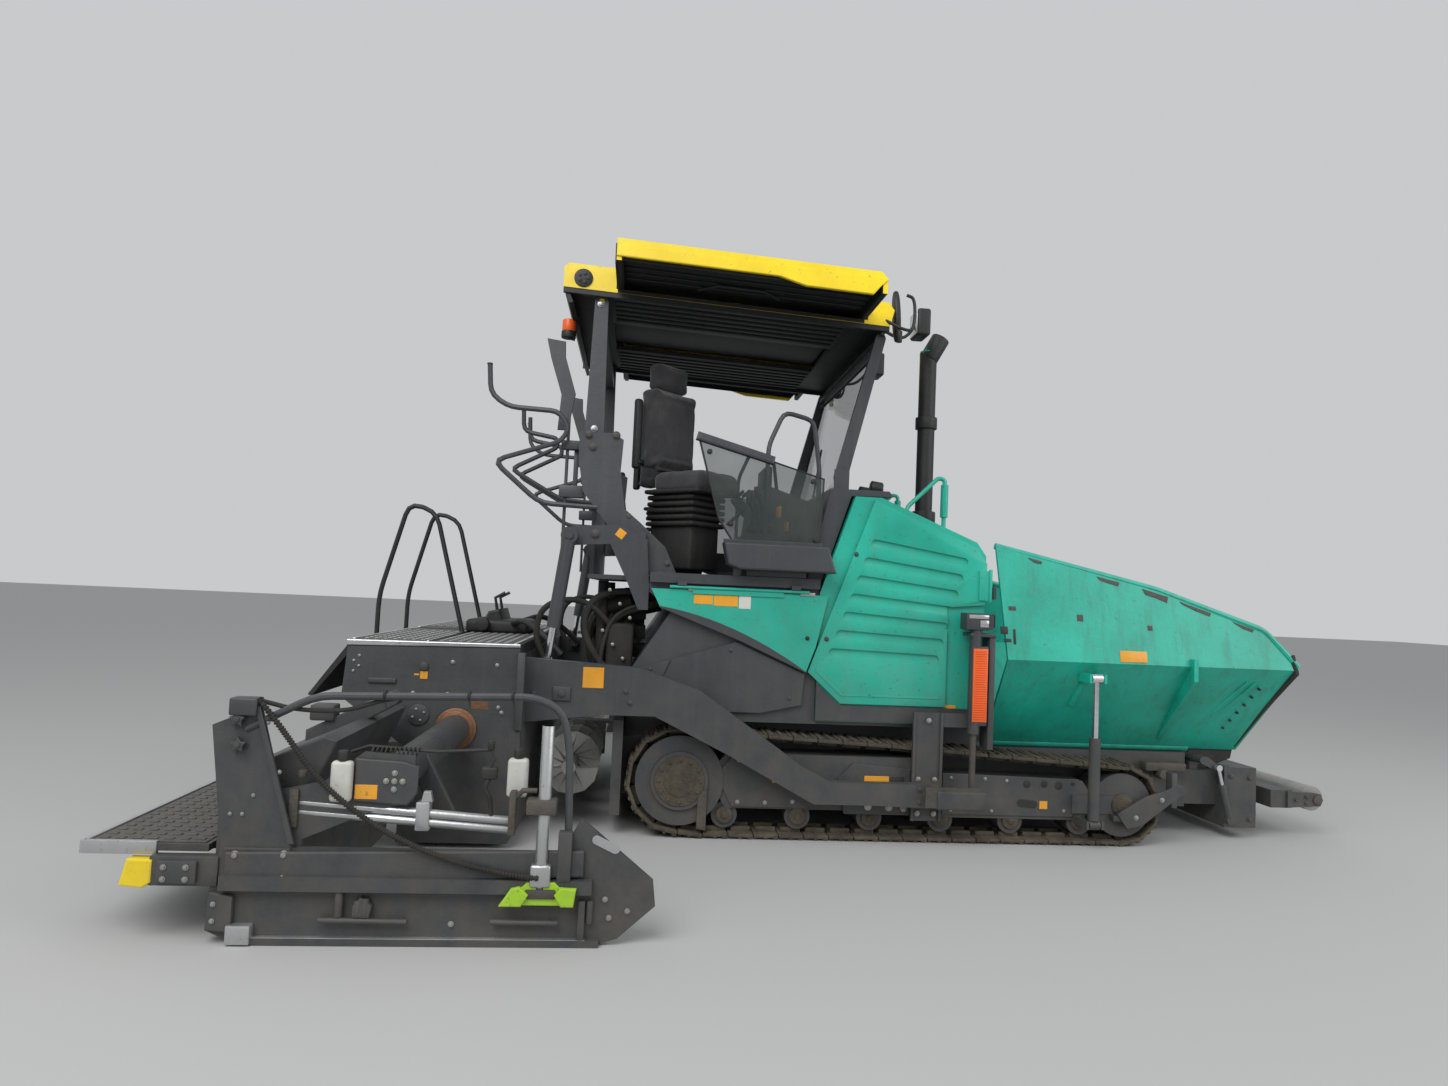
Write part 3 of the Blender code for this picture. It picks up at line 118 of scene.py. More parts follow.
finish = {
    # color, roughness, metal, dust color, dust amount, height the dust fades at, chip color, bump
    'green': ((0.012, 0.43, 0.31), 0.34, 0.0, (0.16, 0.145, 0.11), 0.42, 2.0, (0.06, 0.05, 0.04), 0.03),
    'hopperGreen': ((0.010, 0.42, 0.30), 0.36, 0.0, (0.035, 0.036, 0.030), 1.0, 0.85, (0.10, 0.05, 0.03),
                    0.06),
    'slate': ((0.050, 0.055, 0.062), 0.48, 0.1, (0.115, 0.10, 0.08), 0.62, 1.5, (0.09, 0.06, 0.045),
              0.06),
    'yellow': ((0.95, 0.70, 0.010), 0.34, 0.0, (0.40, 0.31, 0.14), 0.20, 5.0, (0.30, 0.20, 0.05), 0.02),
    'black': ((0.012, 0.012, 0.013), 0.55, 0.0, (0.07, 0.065, 0.055), 0.40, 2.2, (0.04, 0.04, 0.04),
              0.08),
    'track': ((0.050, 0.044, 0.037), 0.85, 0.1, (0.135, 0.115, 0.080), 1.0, 1.6, (0.10, 0.065, 0.04),
              0.55),
    'iron': ((0.085, 0.080, 0.076), 0.55, 0.5, (0.13, 0.11, 0.08), 0.7, 2.0, (0.12, 0.07, 0.04), 0.25),
    'rubber': ((0.014, 0.013, 0.013), 0.75, 0.0, (0.075, 0.068, 0.055), 0.5, 2.2, (0.04, 0.04, 0.04),
               0.15),
    'steel': ((0.44, 0.44, 0.43), 0.36, 0.9, (0.18, 0.16, 0.12), 0.5, 1.8, (0.16, 0.11, 0.08), 0.10),
    'aluminium': ((0.60, 0.61, 0.62), 0.32, 0.9, (0.22, 0.20, 0.16), 0.3, 2.0, (0.25, 0.23, 0.20), 0.06),
    'chrome': ((0.80, 0.80, 0.82), 0.12, 1.0, (0.25, 0.21, 0.17), 0.20, 1.6, (0.5, 0.5, 0.5), 0.02),
    'lime': ((0.42, 0.72, 0.02), 0.40, 0.0, (0.20, 0.19, 0.12), 0.35, 1.0, (0.1, 0.1, 0.05), 0.04),
    'orange': ((0.90, 0.13, 0.012), 0.38, 0.0, (0.28, 0.18, 0.12), 0.2, 2.0, (0.3, 0.1, 0.05), 0.03),
    'amber': ((0.88, 0.38, 0.012), 0.38, 0.0, (0.30, 0.22, 0.12), 0.25, 3.0, (0.3, 0.18, 0.06), 0.03),
    'copper': ((0.30, 0.15, 0.08), 0.42, 0.8, (0.14, 0.11, 0.08), 0.4, 1.5, (0.15, 0.08, 0.05), 0.12),
    'white': ((0.66, 0.67, 0.62), 0.42, 0.0, (0.28, 0.25, 0.20), 0.45, 2.0, (0.25, 0.24, 0.22), 0.04),
    'lamp': ((0.55, 0.56, 0.58), 0.10, 0.6, (0.3, 0.28, 0.24), 0.1, 5.0, (0.4, 0.4, 0.4), 0.02),
    'tread': ((0.12, 0.12, 0.118), 0.50, 0.6, (0.13, 0.115, 0.09), 0.7, 2.5, (0.20, 0.19, 0.17), 0.30),
}


# paint or metal with tone drift, dust that gathers low down, chips and a fine bump
def weathered(name):
    color, rough, metal, dust, amount, height, chip, bump = finish[name]
    mat, tree, shader = newMaterial(name)
    coords = tree.nodes.new('ShaderNodeTexCoord').outputs['Object']
    tone = noiseMask(tree, coords, 2.3, 0.3, 0.7)
    darker = tuple(c * 0.72 for c in color)
    base = mixColor(tree, tone, (*darker, 1), (*color, 1))
    # streaks run down the sides
    stretch = tree.nodes.new('ShaderNodeMapping')
    stretch.inputs['Scale'].default_value = (14.0, 14.0, 0.9)
    tree.links.new(coords, stretch.inputs['Vector'])
    streak = noiseMask(tree, stretch.outputs['Vector'], 1.0, 0.50, 0.72)
    base = mixColor(tree, multiply(tree, streak, 0.28 * amount), base, (*dust, 1))
    # dust: thick near the ground, thinner with height
    split = tree.nodes.new('ShaderNodeSeparateXYZ')
    tree.links.new(coords, split.inputs[0])
    low = tree.nodes.new('ShaderNodeMapRange')
    low.inputs['From Min'].default_value = height
    low.inputs['From Max'].default_value = 0.0
    tree.links.new(split.outputs['Z'], low.inputs['Value'])
    patches = noiseMask(tree, coords, 6.0, 0.32, 0.66, 9.0, 0.68)
    mask = multiply(tree, multiply(tree, patches, low.outputs['Result']), amount)
    base = mixColor(tree, mask, base, (*dust, 1))
    # chips and rust spots
    spots = noiseMask(tree, coords, 38.0, 0.64, 0.70, 3.0, 0.7)
    base = mixColor(tree, multiply(tree, spots, 0.65), base, (*chip, 1))
    tree.links.new(base, shader.inputs['Base Color'])
    shader.inputs['Metallic'].default_value = metal
    if metal > 0.3:
        clean = addNode(tree, 'ShaderNodeMath', operation='MULTIPLY_ADD')
        tree.links.new(mask, clean.inputs[0])
        clean.inputs[1].default_value = -0.8 * metal
        clean.inputs[2].default_value = metal
        tree.links.new(clean.outputs[0], shader.inputs['Metallic'])
    spread = addNode(tree, 'ShaderNodeMath', operation='MULTIPLY_ADD')
    tree.links.new(mask, spread.inputs[0])
    spread.inputs[1].default_value = 0.45
    spread.inputs[2].default_value = rough
    tree.links.new(spread.outputs[0], shader.inputs['Roughness'])
    grain = addNode(tree, 'ShaderNodeTexNoise', Scale=95.0, Detail=6.0)
    tree.links.new(coords, grain.inputs['Vector'])
    height1 = addNode(tree, 'ShaderNodeBump', Strength=min(1.0, bump * 2), Distance=0.004)
    tree.links.new(grain.outputs['Fac'], height1.inputs['Height'])
    height2 = addNode(tree, 'ShaderNodeBump', Strength=min(1.0, bump * 2), Distance=0.012)
    tree.links.new(patches, height2.inputs['Height'])
    tree.links.new(height1.outputs['Normal'], height2.inputs['Normal'])
    tree.links.new(height2.outputs['Normal'], shader.inputs['Normal'])
    return mat


materials = {name: weathered(name) for name in finish}


def glassMaterial():
    mat, tree, shader = newMaterial('glass')
    coords = tree.nodes.new('ShaderNodeTexCoord').outputs['Object']
    smear = noiseMask(tree, coords, 3.0, 0.45, 0.8)
    tint = mixColor(tree, smear, (0.045, 0.060, 0.058, 1), (0.11, 0.12, 0.105, 1))
    tree.links.new(tint, shader.inputs['Base Color'])
    rough = addNode(tree, 'ShaderNodeMath', operation='MULTIPLY_ADD')
    tree.links.new(smear, rough.inputs[0])
    rough.inputs[1].default_value = 0.15
    rough.inputs[2].default_value = 0.03
    tree.links.new(rough.outputs[0], shader.inputs['Roughness'])
    shader.inputs['Alpha'].default_value = 0.42
    shader.inputs['IOR'].default_value = 1.45
    return mat


def fabricMaterial():
    mat, tree, shader = newMaterial('fabric')
    coords = tree.nodes.new('ShaderNodeTexCoord').outputs['Object']
    weave = addNode(tree, 'ShaderNodeTexVoronoi', Scale=420.0)
    tree.links.new(coords, weave.inputs['Vector'])
    tone = noiseMask(tree, coords, 9.0, 0.3, 0.7)
    base = mixColor(tree, tone, (0.012, 0.012, 0.014, 1), (0.035, 0.035, 0.038, 1))
    worn = noiseMask(tree, coords, 3.0, 0.55, 0.75)
    base = mixColor(tree, multiply(tree, worn, 0.35), base, (0.10, 0.095, 0.085, 1))
    tree.links.new(base, shader.inputs['Base Color'])
    shader.inputs['Roughness'].default_value = 0.85
    shader.inputs['Sheen Weight'].default_value = 0.3
    bump = addNode(tree, 'ShaderNodeBump', Strength=0.35, Distance=0.0015)
    tree.links.new(weave.outputs['Distance'], bump.inputs['Height'])
    tree.links.new(bump.outputs['Normal'], shader.inputs['Normal'])
    return mat


materials['glass'] = glassMaterial()
materials['fabric'] = fabricMaterial()

for row in frame['record']['subparts']:
    node = bpy.data.objects[row['node']]
    key = row['material_slot']
    for slot in node.material_slots:
        slot.material = materials[key]
print('materials done')


def deselect():
    bpy.ops.object.select_all(action='DESELECT')


# names a finished piece, puts its place into its mesh and hangs it on its body
def settle(obj, name, key, body, smooth=30):
    deselect()
    obj.select_set(True)
    bpy.context.view_layer.objects.active = obj
    bpy.ops.object.transform_apply(location=True, rotation=True, scale=True)
    bpy.ops.object.shade_smooth_by_angle(angle=math.radians(smooth))
    obj.name = name
    obj.data.name = name
    obj.data.materials.clear()
    obj.data.materials.append(materials[key])
    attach(obj, body)
    return obj


# a bevelled block between two corners
def block(low, high, bevel=0.004, segments=2):
    low, high = Vector(low), Vector(high)
    size = Vector([abs(a - b) for a, b in zip(high, low)])
    deselect()
    bpy.ops.mesh.primitive_cube_add(size=1, location=(low + high) / 2)
    obj = bpy.context.object
    obj.scale = size
    bpy.ops.object.transform_apply(location=True, rotation=True, scale=True)
    if bevel:
        edge = obj.modifiers.new('edge', 'BEVEL')
        edge.width = min(bevel, min(size) * 0.45)
        edge.segments = segments
        bpy.ops.object.modifier_apply(modifier='edge')
    return obj


# a round bar between two points, its rims broken
def bar(start, end, radius, count=20, bevel=0.0):
    start, end = Vector(start), Vector(end)
    deselect()
    bpy.ops.mesh.primitive_cylinder_add(vertices=count, radius=radius, depth=(end - start).length,
                                        location=(start + end) / 2)
    obj = bpy.context.object
    obj.rotation_euler = (end - start).to_track_quat('Z', 'Y').to_euler()
    if bevel:
        edge = obj.modifiers.new('edge', 'BEVEL')
        edge.width = bevel
        edge.segments = 2
        edge.limit_method = 'ANGLE'
        bpy.ops.object.modifier_apply(modifier='edge')
    bpy.ops.object.transform_apply(location=True, rotation=True, scale=True)
    return obj


# a bent tube along a path
def tube(points, radius, resolution=3, smoothPath=False):
    data = bpy.data.curves.new('path', 'CURVE')
    data.dimensions = '3D'
    spline = data.splines.new('POLY')
    path = [Vector(p) for p in points]
    if smoothPath:
        path = roundPath(path)
    spline.points.add(len(path) - 1)
    for point, place in zip(spline.points, path):
        point.co = (*place, 1)
    data.bevel_depth = radius
    data.bevel_resolution = resolution
    data.use_fill_caps = True
    obj = bpy.data.objects.new('tube', data)
    bpy.context.collection.objects.link(obj)
    deselect()
    obj.select_set(True)
    bpy.context.view_layer.objects.active = obj
    bpy.ops.object.convert(target='MESH')
    return bpy.context.object


# corner cutting that turns a polyline into a smooth route
def roundPath(path, rounds=3):
    for _ in range(rounds):
        smooth = [path[0]]
        for a, b in zip(path, path[1:]):
            smooth += [a * 0.75 + b * 0.25, a * 0.25 + b * 0.75]
        path = smooth + [path[-1]]
    return path


# a flat (x, z) outline as a plate between two y values, its edges broken
def plate(outline, low, high, bevel=0.003):
    data = bpy.data.curves.new('outline', 'CURVE')
    data.dimensions = '2D'
    data.fill_mode = 'BOTH'
    spline = data.splines.new('POLY')
    spline.points.add(len(outline) - 1)
    for point, (x, z) in zip(spline.points, outline):
        point.co = (x + shift['x'], z, 0, 1)
    spline.use_cyclic_u = True
    rim = min(bevel, abs(high - low) * 0.45)
    data.extrude = abs(high - low) / 2 - rim
    data.bevel_depth = rim
    data.bevel_resolution = 1
    data.offset = -rim
    obj = bpy.data.objects.new('plate', data)
    bpy.context.collection.objects.link(obj)
    obj.location = (0, (low + high) / 2, 0)
    obj.rotation_euler = (math.radians(90), 0, 0)
    deselect()
    obj.select_set(True)
    bpy.context.view_layer.objects.active = obj
    bpy.ops.object.convert(target='MESH')
    obj = bpy.context.object
    bpy.ops.object.transform_apply(location=True, rotation=True, scale=True)
    return obj


# outline of a slot with round ends between two (x, z) points
def pill(first, last, radius, steps=6):
    lean = math.atan2(last[1] - first[1], last[0] - first[0])
    points = []
    for centre, start in ((last, lean - math.pi / 2), (first, lean + math.pi / 2)):
        for i in range(steps + 1):
            turn = start + math.pi * i / steps
            points.append((centre[0] + radius * math.cos(turn), centre[1] + radius * math.sin(turn)))
    return points


# one shape modelled once and copied to each place
def copies(obj, offsets):
    made = [obj]
    for offset in offsets:
        twin = obj.copy()
        twin.data = obj.data.copy()
        twin.location = obj.location + Vector(offset)
        bpy.context.collection.objects.link(twin)
        made.append(twin)
    return made


# hexagon heads on washers, standing off a side face
def bolts(places, y, s, radius):
    first = places[0]
    base = at(first[0], y, first[1])
    washer = bar(base, base + Vector((0, s * 0.004, 0)), radius * 1.45, 20, 0.001)
    head = bar(base, base + Vector((0, s * 0.004 + s * radius * 0.7, 0)), radius, 6, 0.0015)
    head = joined([washer, head])
    return joined(copies(head, [(x - first[0], 0, z - first[1]) for x, z in places[1:]]))


# a blank label with rounded corners on a side face
def label(x0, z0, x1, z1, y, s):
    return block(at(x0, y - s * 0.001, z0), at(x1, y + s * 0.002, z1), 0.0012, 1)


def joined(objs):
    deselect()
    for obj in objs:
        obj.select_set(True)
    bpy.context.view_layer.objects.active = objs[0]
    bpy.ops.object.join()
    return bpy.context.object


# the door with its grooves pressed in, hinges and latches
def engineDoor(side, s):
    v = {'grooves': 7, 'radius': 0.031, 'depth': 0.015, 'edge': 0.006, 'face': 1.1456,
         'rearTop': (1.56, 1.945), 'rearBottom': (1.30, 1.21), 'frontTop': (2.17, 1.85),
         'frontBottom': (1.985, 1.19)}
    node = bpy.data.objects['engine_door_' + side]
    door = node.copy()
    door.data = node.data.copy()
    bpy.context.collection.objects.link(door)
    cutters = []
    for i in range(v['grooves']):
        t = i / (v['grooves'] - 1)
        first = [a + (b - a) * t for a, b in zip(v['rearTop'], v['rearBottom'])]
        last = [a + (b - a) * t for a, b in zip(v['frontTop'], v['frontBottom'])]
        cutters.append(plate(pill(first, last, v['radius'], 10), s * (v['face'] - v['depth']),
                             s * (v['face'] + 0.03), 0.004))
    cutter = joined(cutters)
    deselect()
    door.select_set(True)
    bpy.context.view_layer.objects.active = door
    cut = door.modifiers.new('grooves', 'BOOLEAN')
    cut.object = cutter
    cut.solver = 'EXACT'
    bpy.ops.object.modifier_apply(modifier='grooves')
    bpy.data.objects.remove(cutter, do_unlink=True)
    edge = door.modifiers.new('edge', 'BEVEL')
    edge.width = v['edge']
    edge.segments = 3
    edge.limit_method = 'ANGLE'
    edge.angle_limit = math.radians(50)
    bpy.ops.object.modifier_apply(modifier='edge')
    settle(door, 'door_panel_' + side, 'green', 'engine_door_' + side, 35)
    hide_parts('engine_door_' + side)
    y = s * v['face']
    parts = [bolts([(1.43, 1.87), (1.25, 1.30)], y, s, 0.011)]
    for z in (1.655, 1.465):
        parts.append(block(at(2.372, y - s * 0.03, z - 0.04), at(2.40, y + s * 0.006, z + 0.04), 0.004))
        parts.append(bar(at(2.386, y + s * 0.004, z - 0.045), at(2.386, y + s * 0.004, z + 0.045), 0.011,
                         16))
    settle(joined(parts), 'door_hinges_' + side, 'slate', 'tractor')
    seam = [plate([(1.36, 0.93), (2.03, 0.93), (2.03, 0.945), (1.37, 0.945)], y, y + s * 0.004, 0.001),
            plate([(1.18, 1.09), (1.36, 0.93), (1.37, 0.945), (1.19, 1.105)], y, y + s * 0.004, 0.001)]
    settle(joined(seam), 'door_seam_' + side, 'green', 'engine_door_' + side)


# exhaust, grille, lamps and grips on the bonnet
def bonnetDetail():
    sleeve = [bar(at(2.135, -0.35, 2.22), at(2.135, -0.35, 3.49), 0.0645, 40),
              bar(at(2.135, -0.35, 2.895), at(2.135, -0.35, 2.985), 0.082, 40, 0.006),
              bar(at(2.135, -0.35, 2.17), at(2.135, -0.35, 2.26), 0.090, 40, 0.008),
              bar(at(2.135, -0.35, 3.44), at(2.228, -0.35, 3.609), 0.071, 40, 0.004)]
    settle(joined(sleeve), 'exhaust_pipe', 'black', 'tractor')
    slats = []
    for s in (-1, 1):
        for i in range(9):
            x = 1.66 + i * 0.062
            z = 2.245 - (x - 1.60) * 0.403
            slats.append(block(at(x, s * 0.45 - 0.22, z - 0.004),
                               at(x + 0.03, s * 0.45 + 0.22, z + 0.010), 0.004))
    settle(joined(slats), 'bonnet_grille', 'black', 'tractor')
    grips = []
    for s in (-1, 1):
        grips.append(tube([at(2.21, s * 0.60, z) for z in (2.20, 2.26, 2.38, 2.44)], 0.028, 4))
        for x, z in ((1.93, 2.10), (2.21, 1.99)):
            grips.append(bar(at(x, s * 0.60, z), at(x, s * 0.60, z + 0.015), 0.04, 24, 0.004))
    settle(joined(grips), 'bonnet_grips', 'green', 'tractor')
    lamps = []
    for y in (-0.95, -0.62, 0.62, 0.95):
        lamps.append(block(at(1.50, y - 0.05, 2.285), at(1.60, y + 0.05, 2.325), 0.012, 3))
        lamps.append(bar(at(1.56, y, 2.35), at(1.64, y, 2.34), 0.045, 28, 0.006))
    settle(joined(lamps), 'cowl_lamps', 'black', 'tractor')
    glasses = [bar(at(1.638, y, 2.341), at(1.646, y, 2.340), 0.037, 28, 0.002) for y in (-0.95, -0.62,
        0.62, 0.95)]
    settle(joined(glasses), 'cowl_lamp_glasses', 'lamp', 'tractor')


# latches, hinges and blank stickers on the side flap
def flapDetail(side, s):
    y = s * 1.1556
    settle(bolts([(1.12, 1.30)], y, s, 0.010), 'flap_latch_' + side, 'black', 'side_flap_' + side)
    hinges = []
    for x in (0.37, 1.11):
        hinges.append(block(at(x - 0.05, y - s * 0.002, 1.575), at(x + 0.05, y + s * 0.006, 1.60), 0.003))
    settle(joined(hinges), 'flap_hinges_' + side, 'steel', 'side_flap_' + side)
    marks = joined([label(0.36, 1.495, 0.485, 1.555, y, s), label(0.492, 1.487, 0.65, 1.557, y, s)])
    settle(marks, 'flap_labels_' + side, 'amber', 'side_flap_' + side)
    settle(label(0.657, 1.475, 0.735, 1.56, y, s), 'flap_label_white_' + side, 'white',
           'side_flap_' + side)
    # dark skirt that runs on below the engine door, and rises in an arc over the flap's lower edge
    skirt = plate([(1.196, 0.762), (2.33, 0.762), (2.33, 0.870), (1.352, 0.870), (1.196, 1.010)],
                  s * 1.1203, s * 1.134, 0.003)
    settle(skirt, 'bonnet_skirt_' + side, 'slate', 'tractor')
    arc = []
    for i in range(13):
        t = i / 12
        arc.append((0.14 + 0.98 * t, 1.472 - 0.392 * t + 0.26 * t * (1 - t)))
    under = [(0.675, 1.266), (0.135, 1.465)]
    rise = plate(arc + [(1.118, 1.075)] + under, s * 1.1553, s * 1.1585, 0.001)
    settle(rise, 'skirt_arc_' + side, 'slate', 'side_flap_' + side)
    # panel edges and bolts on the skirt below
    y = s * 1.13
    settle(bolts([(0.06, 1.00), (0.10, 1.06), (0.16, 0.86), (0.62, 1.20), (1.02, 0.90)], y, s, 0.009),
           'skirt_bolts_' + side, 'iron', 'tractor')
    seam = [plate([(0.10, 0.83), (0.108, 0.83), (0.235, 1.12), (0.227, 1.125)], y, y + s * 0.003, 0.001)]
    settle(joined(seam), 'skirt_seam_' + side, 'black', 'tractor')


for side, s in sides:
    engineDoor(side, s)
    flapDetail(side, s)
bonnetDetail()
print('bonnet done')


# roof lining, ribs, edge lamps and awning linings
def roofSlope(x, drop=0.0):
    return 3.73 - 0.11 * (x + 0.60) / 2.26 - drop


def slab(x0, x1, y0, y1, drop, thick, bevel=0.002):
    verts = [(x0, roofSlope(x0, drop + thick)), (x1, roofSlope(x1, drop + thick)),
             (x1, roofSlope(x1, drop)), (x0, roofSlope(x0, drop))]
    return plate(verts, y0, y1, bevel)


# a copy of a shell, painted outside and black on its inner faces
def blackInside(name, body):
    node = bpy.data.objects[name]
    shell = node.copy()
    shell.data = node.data.copy()
    bpy.context.collection.objects.link(shell)
    settle(shell, name + '_shell', 'yellow', body)
    shell.data.materials.append(materials['black'])
    xs = [vert.co.x for vert in shell.data.vertices]
    ys = [vert.co.y for vert in shell.data.vertices]
    middle = Vector(((min(xs) + max(xs)) / 2, (min(ys) + max(ys)) / 2, 0))
    reach = ((max(xs) - min(xs)) / 2, (max(ys) - min(ys)) / 2)
    for face in shell.data.polygons:
        away = face.center - middle
        outside = any(face.normal[i] * away[i] > 0.3 * abs(away[i]) and abs(away[i]) > reach[i] - 0.09
                      for i in (0, 1))
        if face.normal.z < 0.3 and not outside:
            face.material_index = 1
    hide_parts(name)


def canopyDetail():
    v = {'rib': 0.10, 'ribDeep': 0.012}
    blackInside('canopy_roof', 'roof')
    for side, s in sides:
        blackInside('awning_' + side, 'awning_' + side)
    lining = [slab(-0.595, -0.285, -1.045, 1.045, 0.1655, 0.004),
              slab(1.355, 1.625, -1.045, 1.045, 0.1655, 0.004)]
    for s in (-1, 1):
        lining.append(slab(-0.285, 1.355, s * 0.352, s * 1.045, 0.1655, 0.004))
        for i in range(6):
            y = 0.44 + i * v['rib']
            lining.append(slab(-0.26, 1.34, s * y, s * (y + 0.045), 0.168, v['ribDeep'], 0.005))
        lining.append(slab(-0.24, 1.45, s * 1.046, s * 1.052, 0.1405, 0.024))
        # dark lip along the edge under the yellow shell
        lining.append(slab(-0.60, 1.63, s * 1.02, s * 1.045, 0.165, 0.035))
    lining.append(slab(-0.28, 1.35, -0.35, 0.35, 0.114, 0.004))
    lining.append(plate([(-0.598, 3.567), (-0.57, 3.565), (-0.53, 3.47), (-0.56, 3.46)], -1.03, 1.03))
    lining.append(plate([(1.60, 3.46), (1.63, 3.46), (1.60, 3.40), (1.57, 3.40)], -1.03, 1.03))
    settle(joined(lining), 'roof_lining', 'black', 'roof')
    for side, s in sides:
        rings = [bar(at(-0.47, s * 1.046, 3.63), at(-0.47, s * 1.062, 3.63), 0.062, 36, 0.006)]
        for i in range(5):
            turn = i * math.pi * 2 / 5
            rings.append(bar(at(-0.47 + 0.03 * math.cos(turn), s * 1.058, 3.63 + 0.03 * math.sin(turn)),
                             at(-0.47 + 0.03 * math.cos(turn), s * 1.066,
                                3.63 + 0.03 * math.sin(turn)), 0.012, 16, 0.002))
        settle(joined(rings), 'roof_speaker_' + side, 'black', 'roof')
        under = [slab(-0.20, 1.425, s * 1.055, s * 1.562, 0.0765, 0.004)]
        for i in range(5):
            y = 1.09 + i * v['rib']
            under.append(slab(-0.19, 1.41, s * y, s * (y + 0.05), 0.079, 0.014, 0.005))
        under.append(plate([(-0.203, roofSlope(-0.2, 0.078)), (-0.197, roofSlope(-0.2, 0.078)),
                            (-0.197, roofSlope(-0.2, 0.139)), (-0.203, roofSlope(-0.2, 0.139))],
                           s * 1.055, s * 1.585, 0.001))
        under.append(plate([(1.424, roofSlope(1.43, 0.078)), (1.430, roofSlope(1.43, 0.078)),
                            (1.430, roofSlope(1.43, 0.138)), (1.424, roofSlope(1.43, 0.138))],
                           s * 1.055, s * 1.585, 0.001))
        under.append(slab(-0.23, 1.39, s * 1.5615, s * 1.5645, 0.03, 0.10, 0.001))
        under.append(plate([(-0.245, roofSlope(-0.235, 0.02)), (-0.237, roofSlope(-0.235, 0.02)),
                            (-0.237, roofSlope(-0.235, 0.139)), (-0.245, roofSlope(-0.235, 0.139))],
                           s * 1.053, s * 1.55, 0.001))
        # kinked brace in the middle of the lining
        under.append(tube([at(0.30, s * 1.12, 3.585), at(0.42, s * 1.24, 3.58), at(0.72, s * 1.24, 3.565),
                           at(0.84, s * 1.12, 3.56)], 0.012, 3))
        settle(joined(under), 'awning_lining_' + side, 'black', 'awning_' + side)
        lip = plate([(-0.235, roofSlope(-0.235, 0.115)), (0.77, roofSlope(0.77, 0.115)),
                     (0.94, roofSlope(0.94, 0.155)), (1.37, roofSlope(1.37, 0.155)),
                     (1.455, roofSlope(1.455, 0.05)), (1.40, roofSlope(1.40, 0.04)),
                     (-0.235, roofSlope(-0.235, 0.04))], s * 1.572, s * 1.602, 0.006)
        settle(lip, 'awning_skirt_' + side, 'yellow', 'awning_' + side)
    settle(bar(at(-0.59, -0.60, 3.385), at(-0.59, -0.60, 3.475), 0.048, 32, 0.014), 'beacon', 'orange',
           'roof')
    foot = [bar(at(-0.59, -0.60, 3.34), at(-0.59, -0.60, 3.39), 0.052, 32, 0.006),
            tube([at(-0.59, -0.60, 3.345), at(-0.55, -0.60, 3.33), at(-0.53, -0.60, 3.50)], 0.010, 3)]
    settle(joined(foot), 'beacon_foot', 'black', 'roof')


# mirrors and their stays at the roof's front corners
def mirrors(side, s):
    shell = bar(at(1.685, s * 1.10, 3.56), at(1.725, s * 1.105, 3.565), 0.105, 40, 0.016)
    shell.data.transform(Matrix.Translation(at(1.70, 0, 3.56)) @ Matrix.Diagonal((1, 0.85, 1.75, 1))
                         @ Matrix.Translation(-at(1.70, 0, 3.56)))
    wide = block(at(1.93, s * 0.52, 3.52), at(2.03, s * 0.72, 3.72), 0.02, 4)
    stays = [shell, wide,
             tube([at(1.60, s * 1.04, 3.50), at(1.72, s * 1.10, 3.42), at(1.80, s * 1.06, 3.44),
                   at(1.80, s * 1.06, 3.66), at(1.74, s * 1.06, 3.68)], 0.011, 3, True),
             tube([at(1.62, s * 0.80, 3.52), at(1.80, s * 0.74, 3.46), at(1.90, s * 0.66, 3.55),
                   at(1.95, s * 0.62, 3.66)], 0.012, 3, True),
             bar(at(1.69, s * 1.08, 3.34), at(1.69, s * 1.08, 3.42), 0.02, 20, 0.005)]
    settle(joined(stays), 'mirror_' + side, 'black', 'roof')
    face = block(at(1.926, s * 0.535, 3.535), at(1.932, s * 0.705, 3.705), 0.002)
    settle(face, 'mirror_glass_' + side, 'lamp', 'roof')


canopyDetail()
for side, s in sides:
    mirrors(side, s)
print('canopy done')
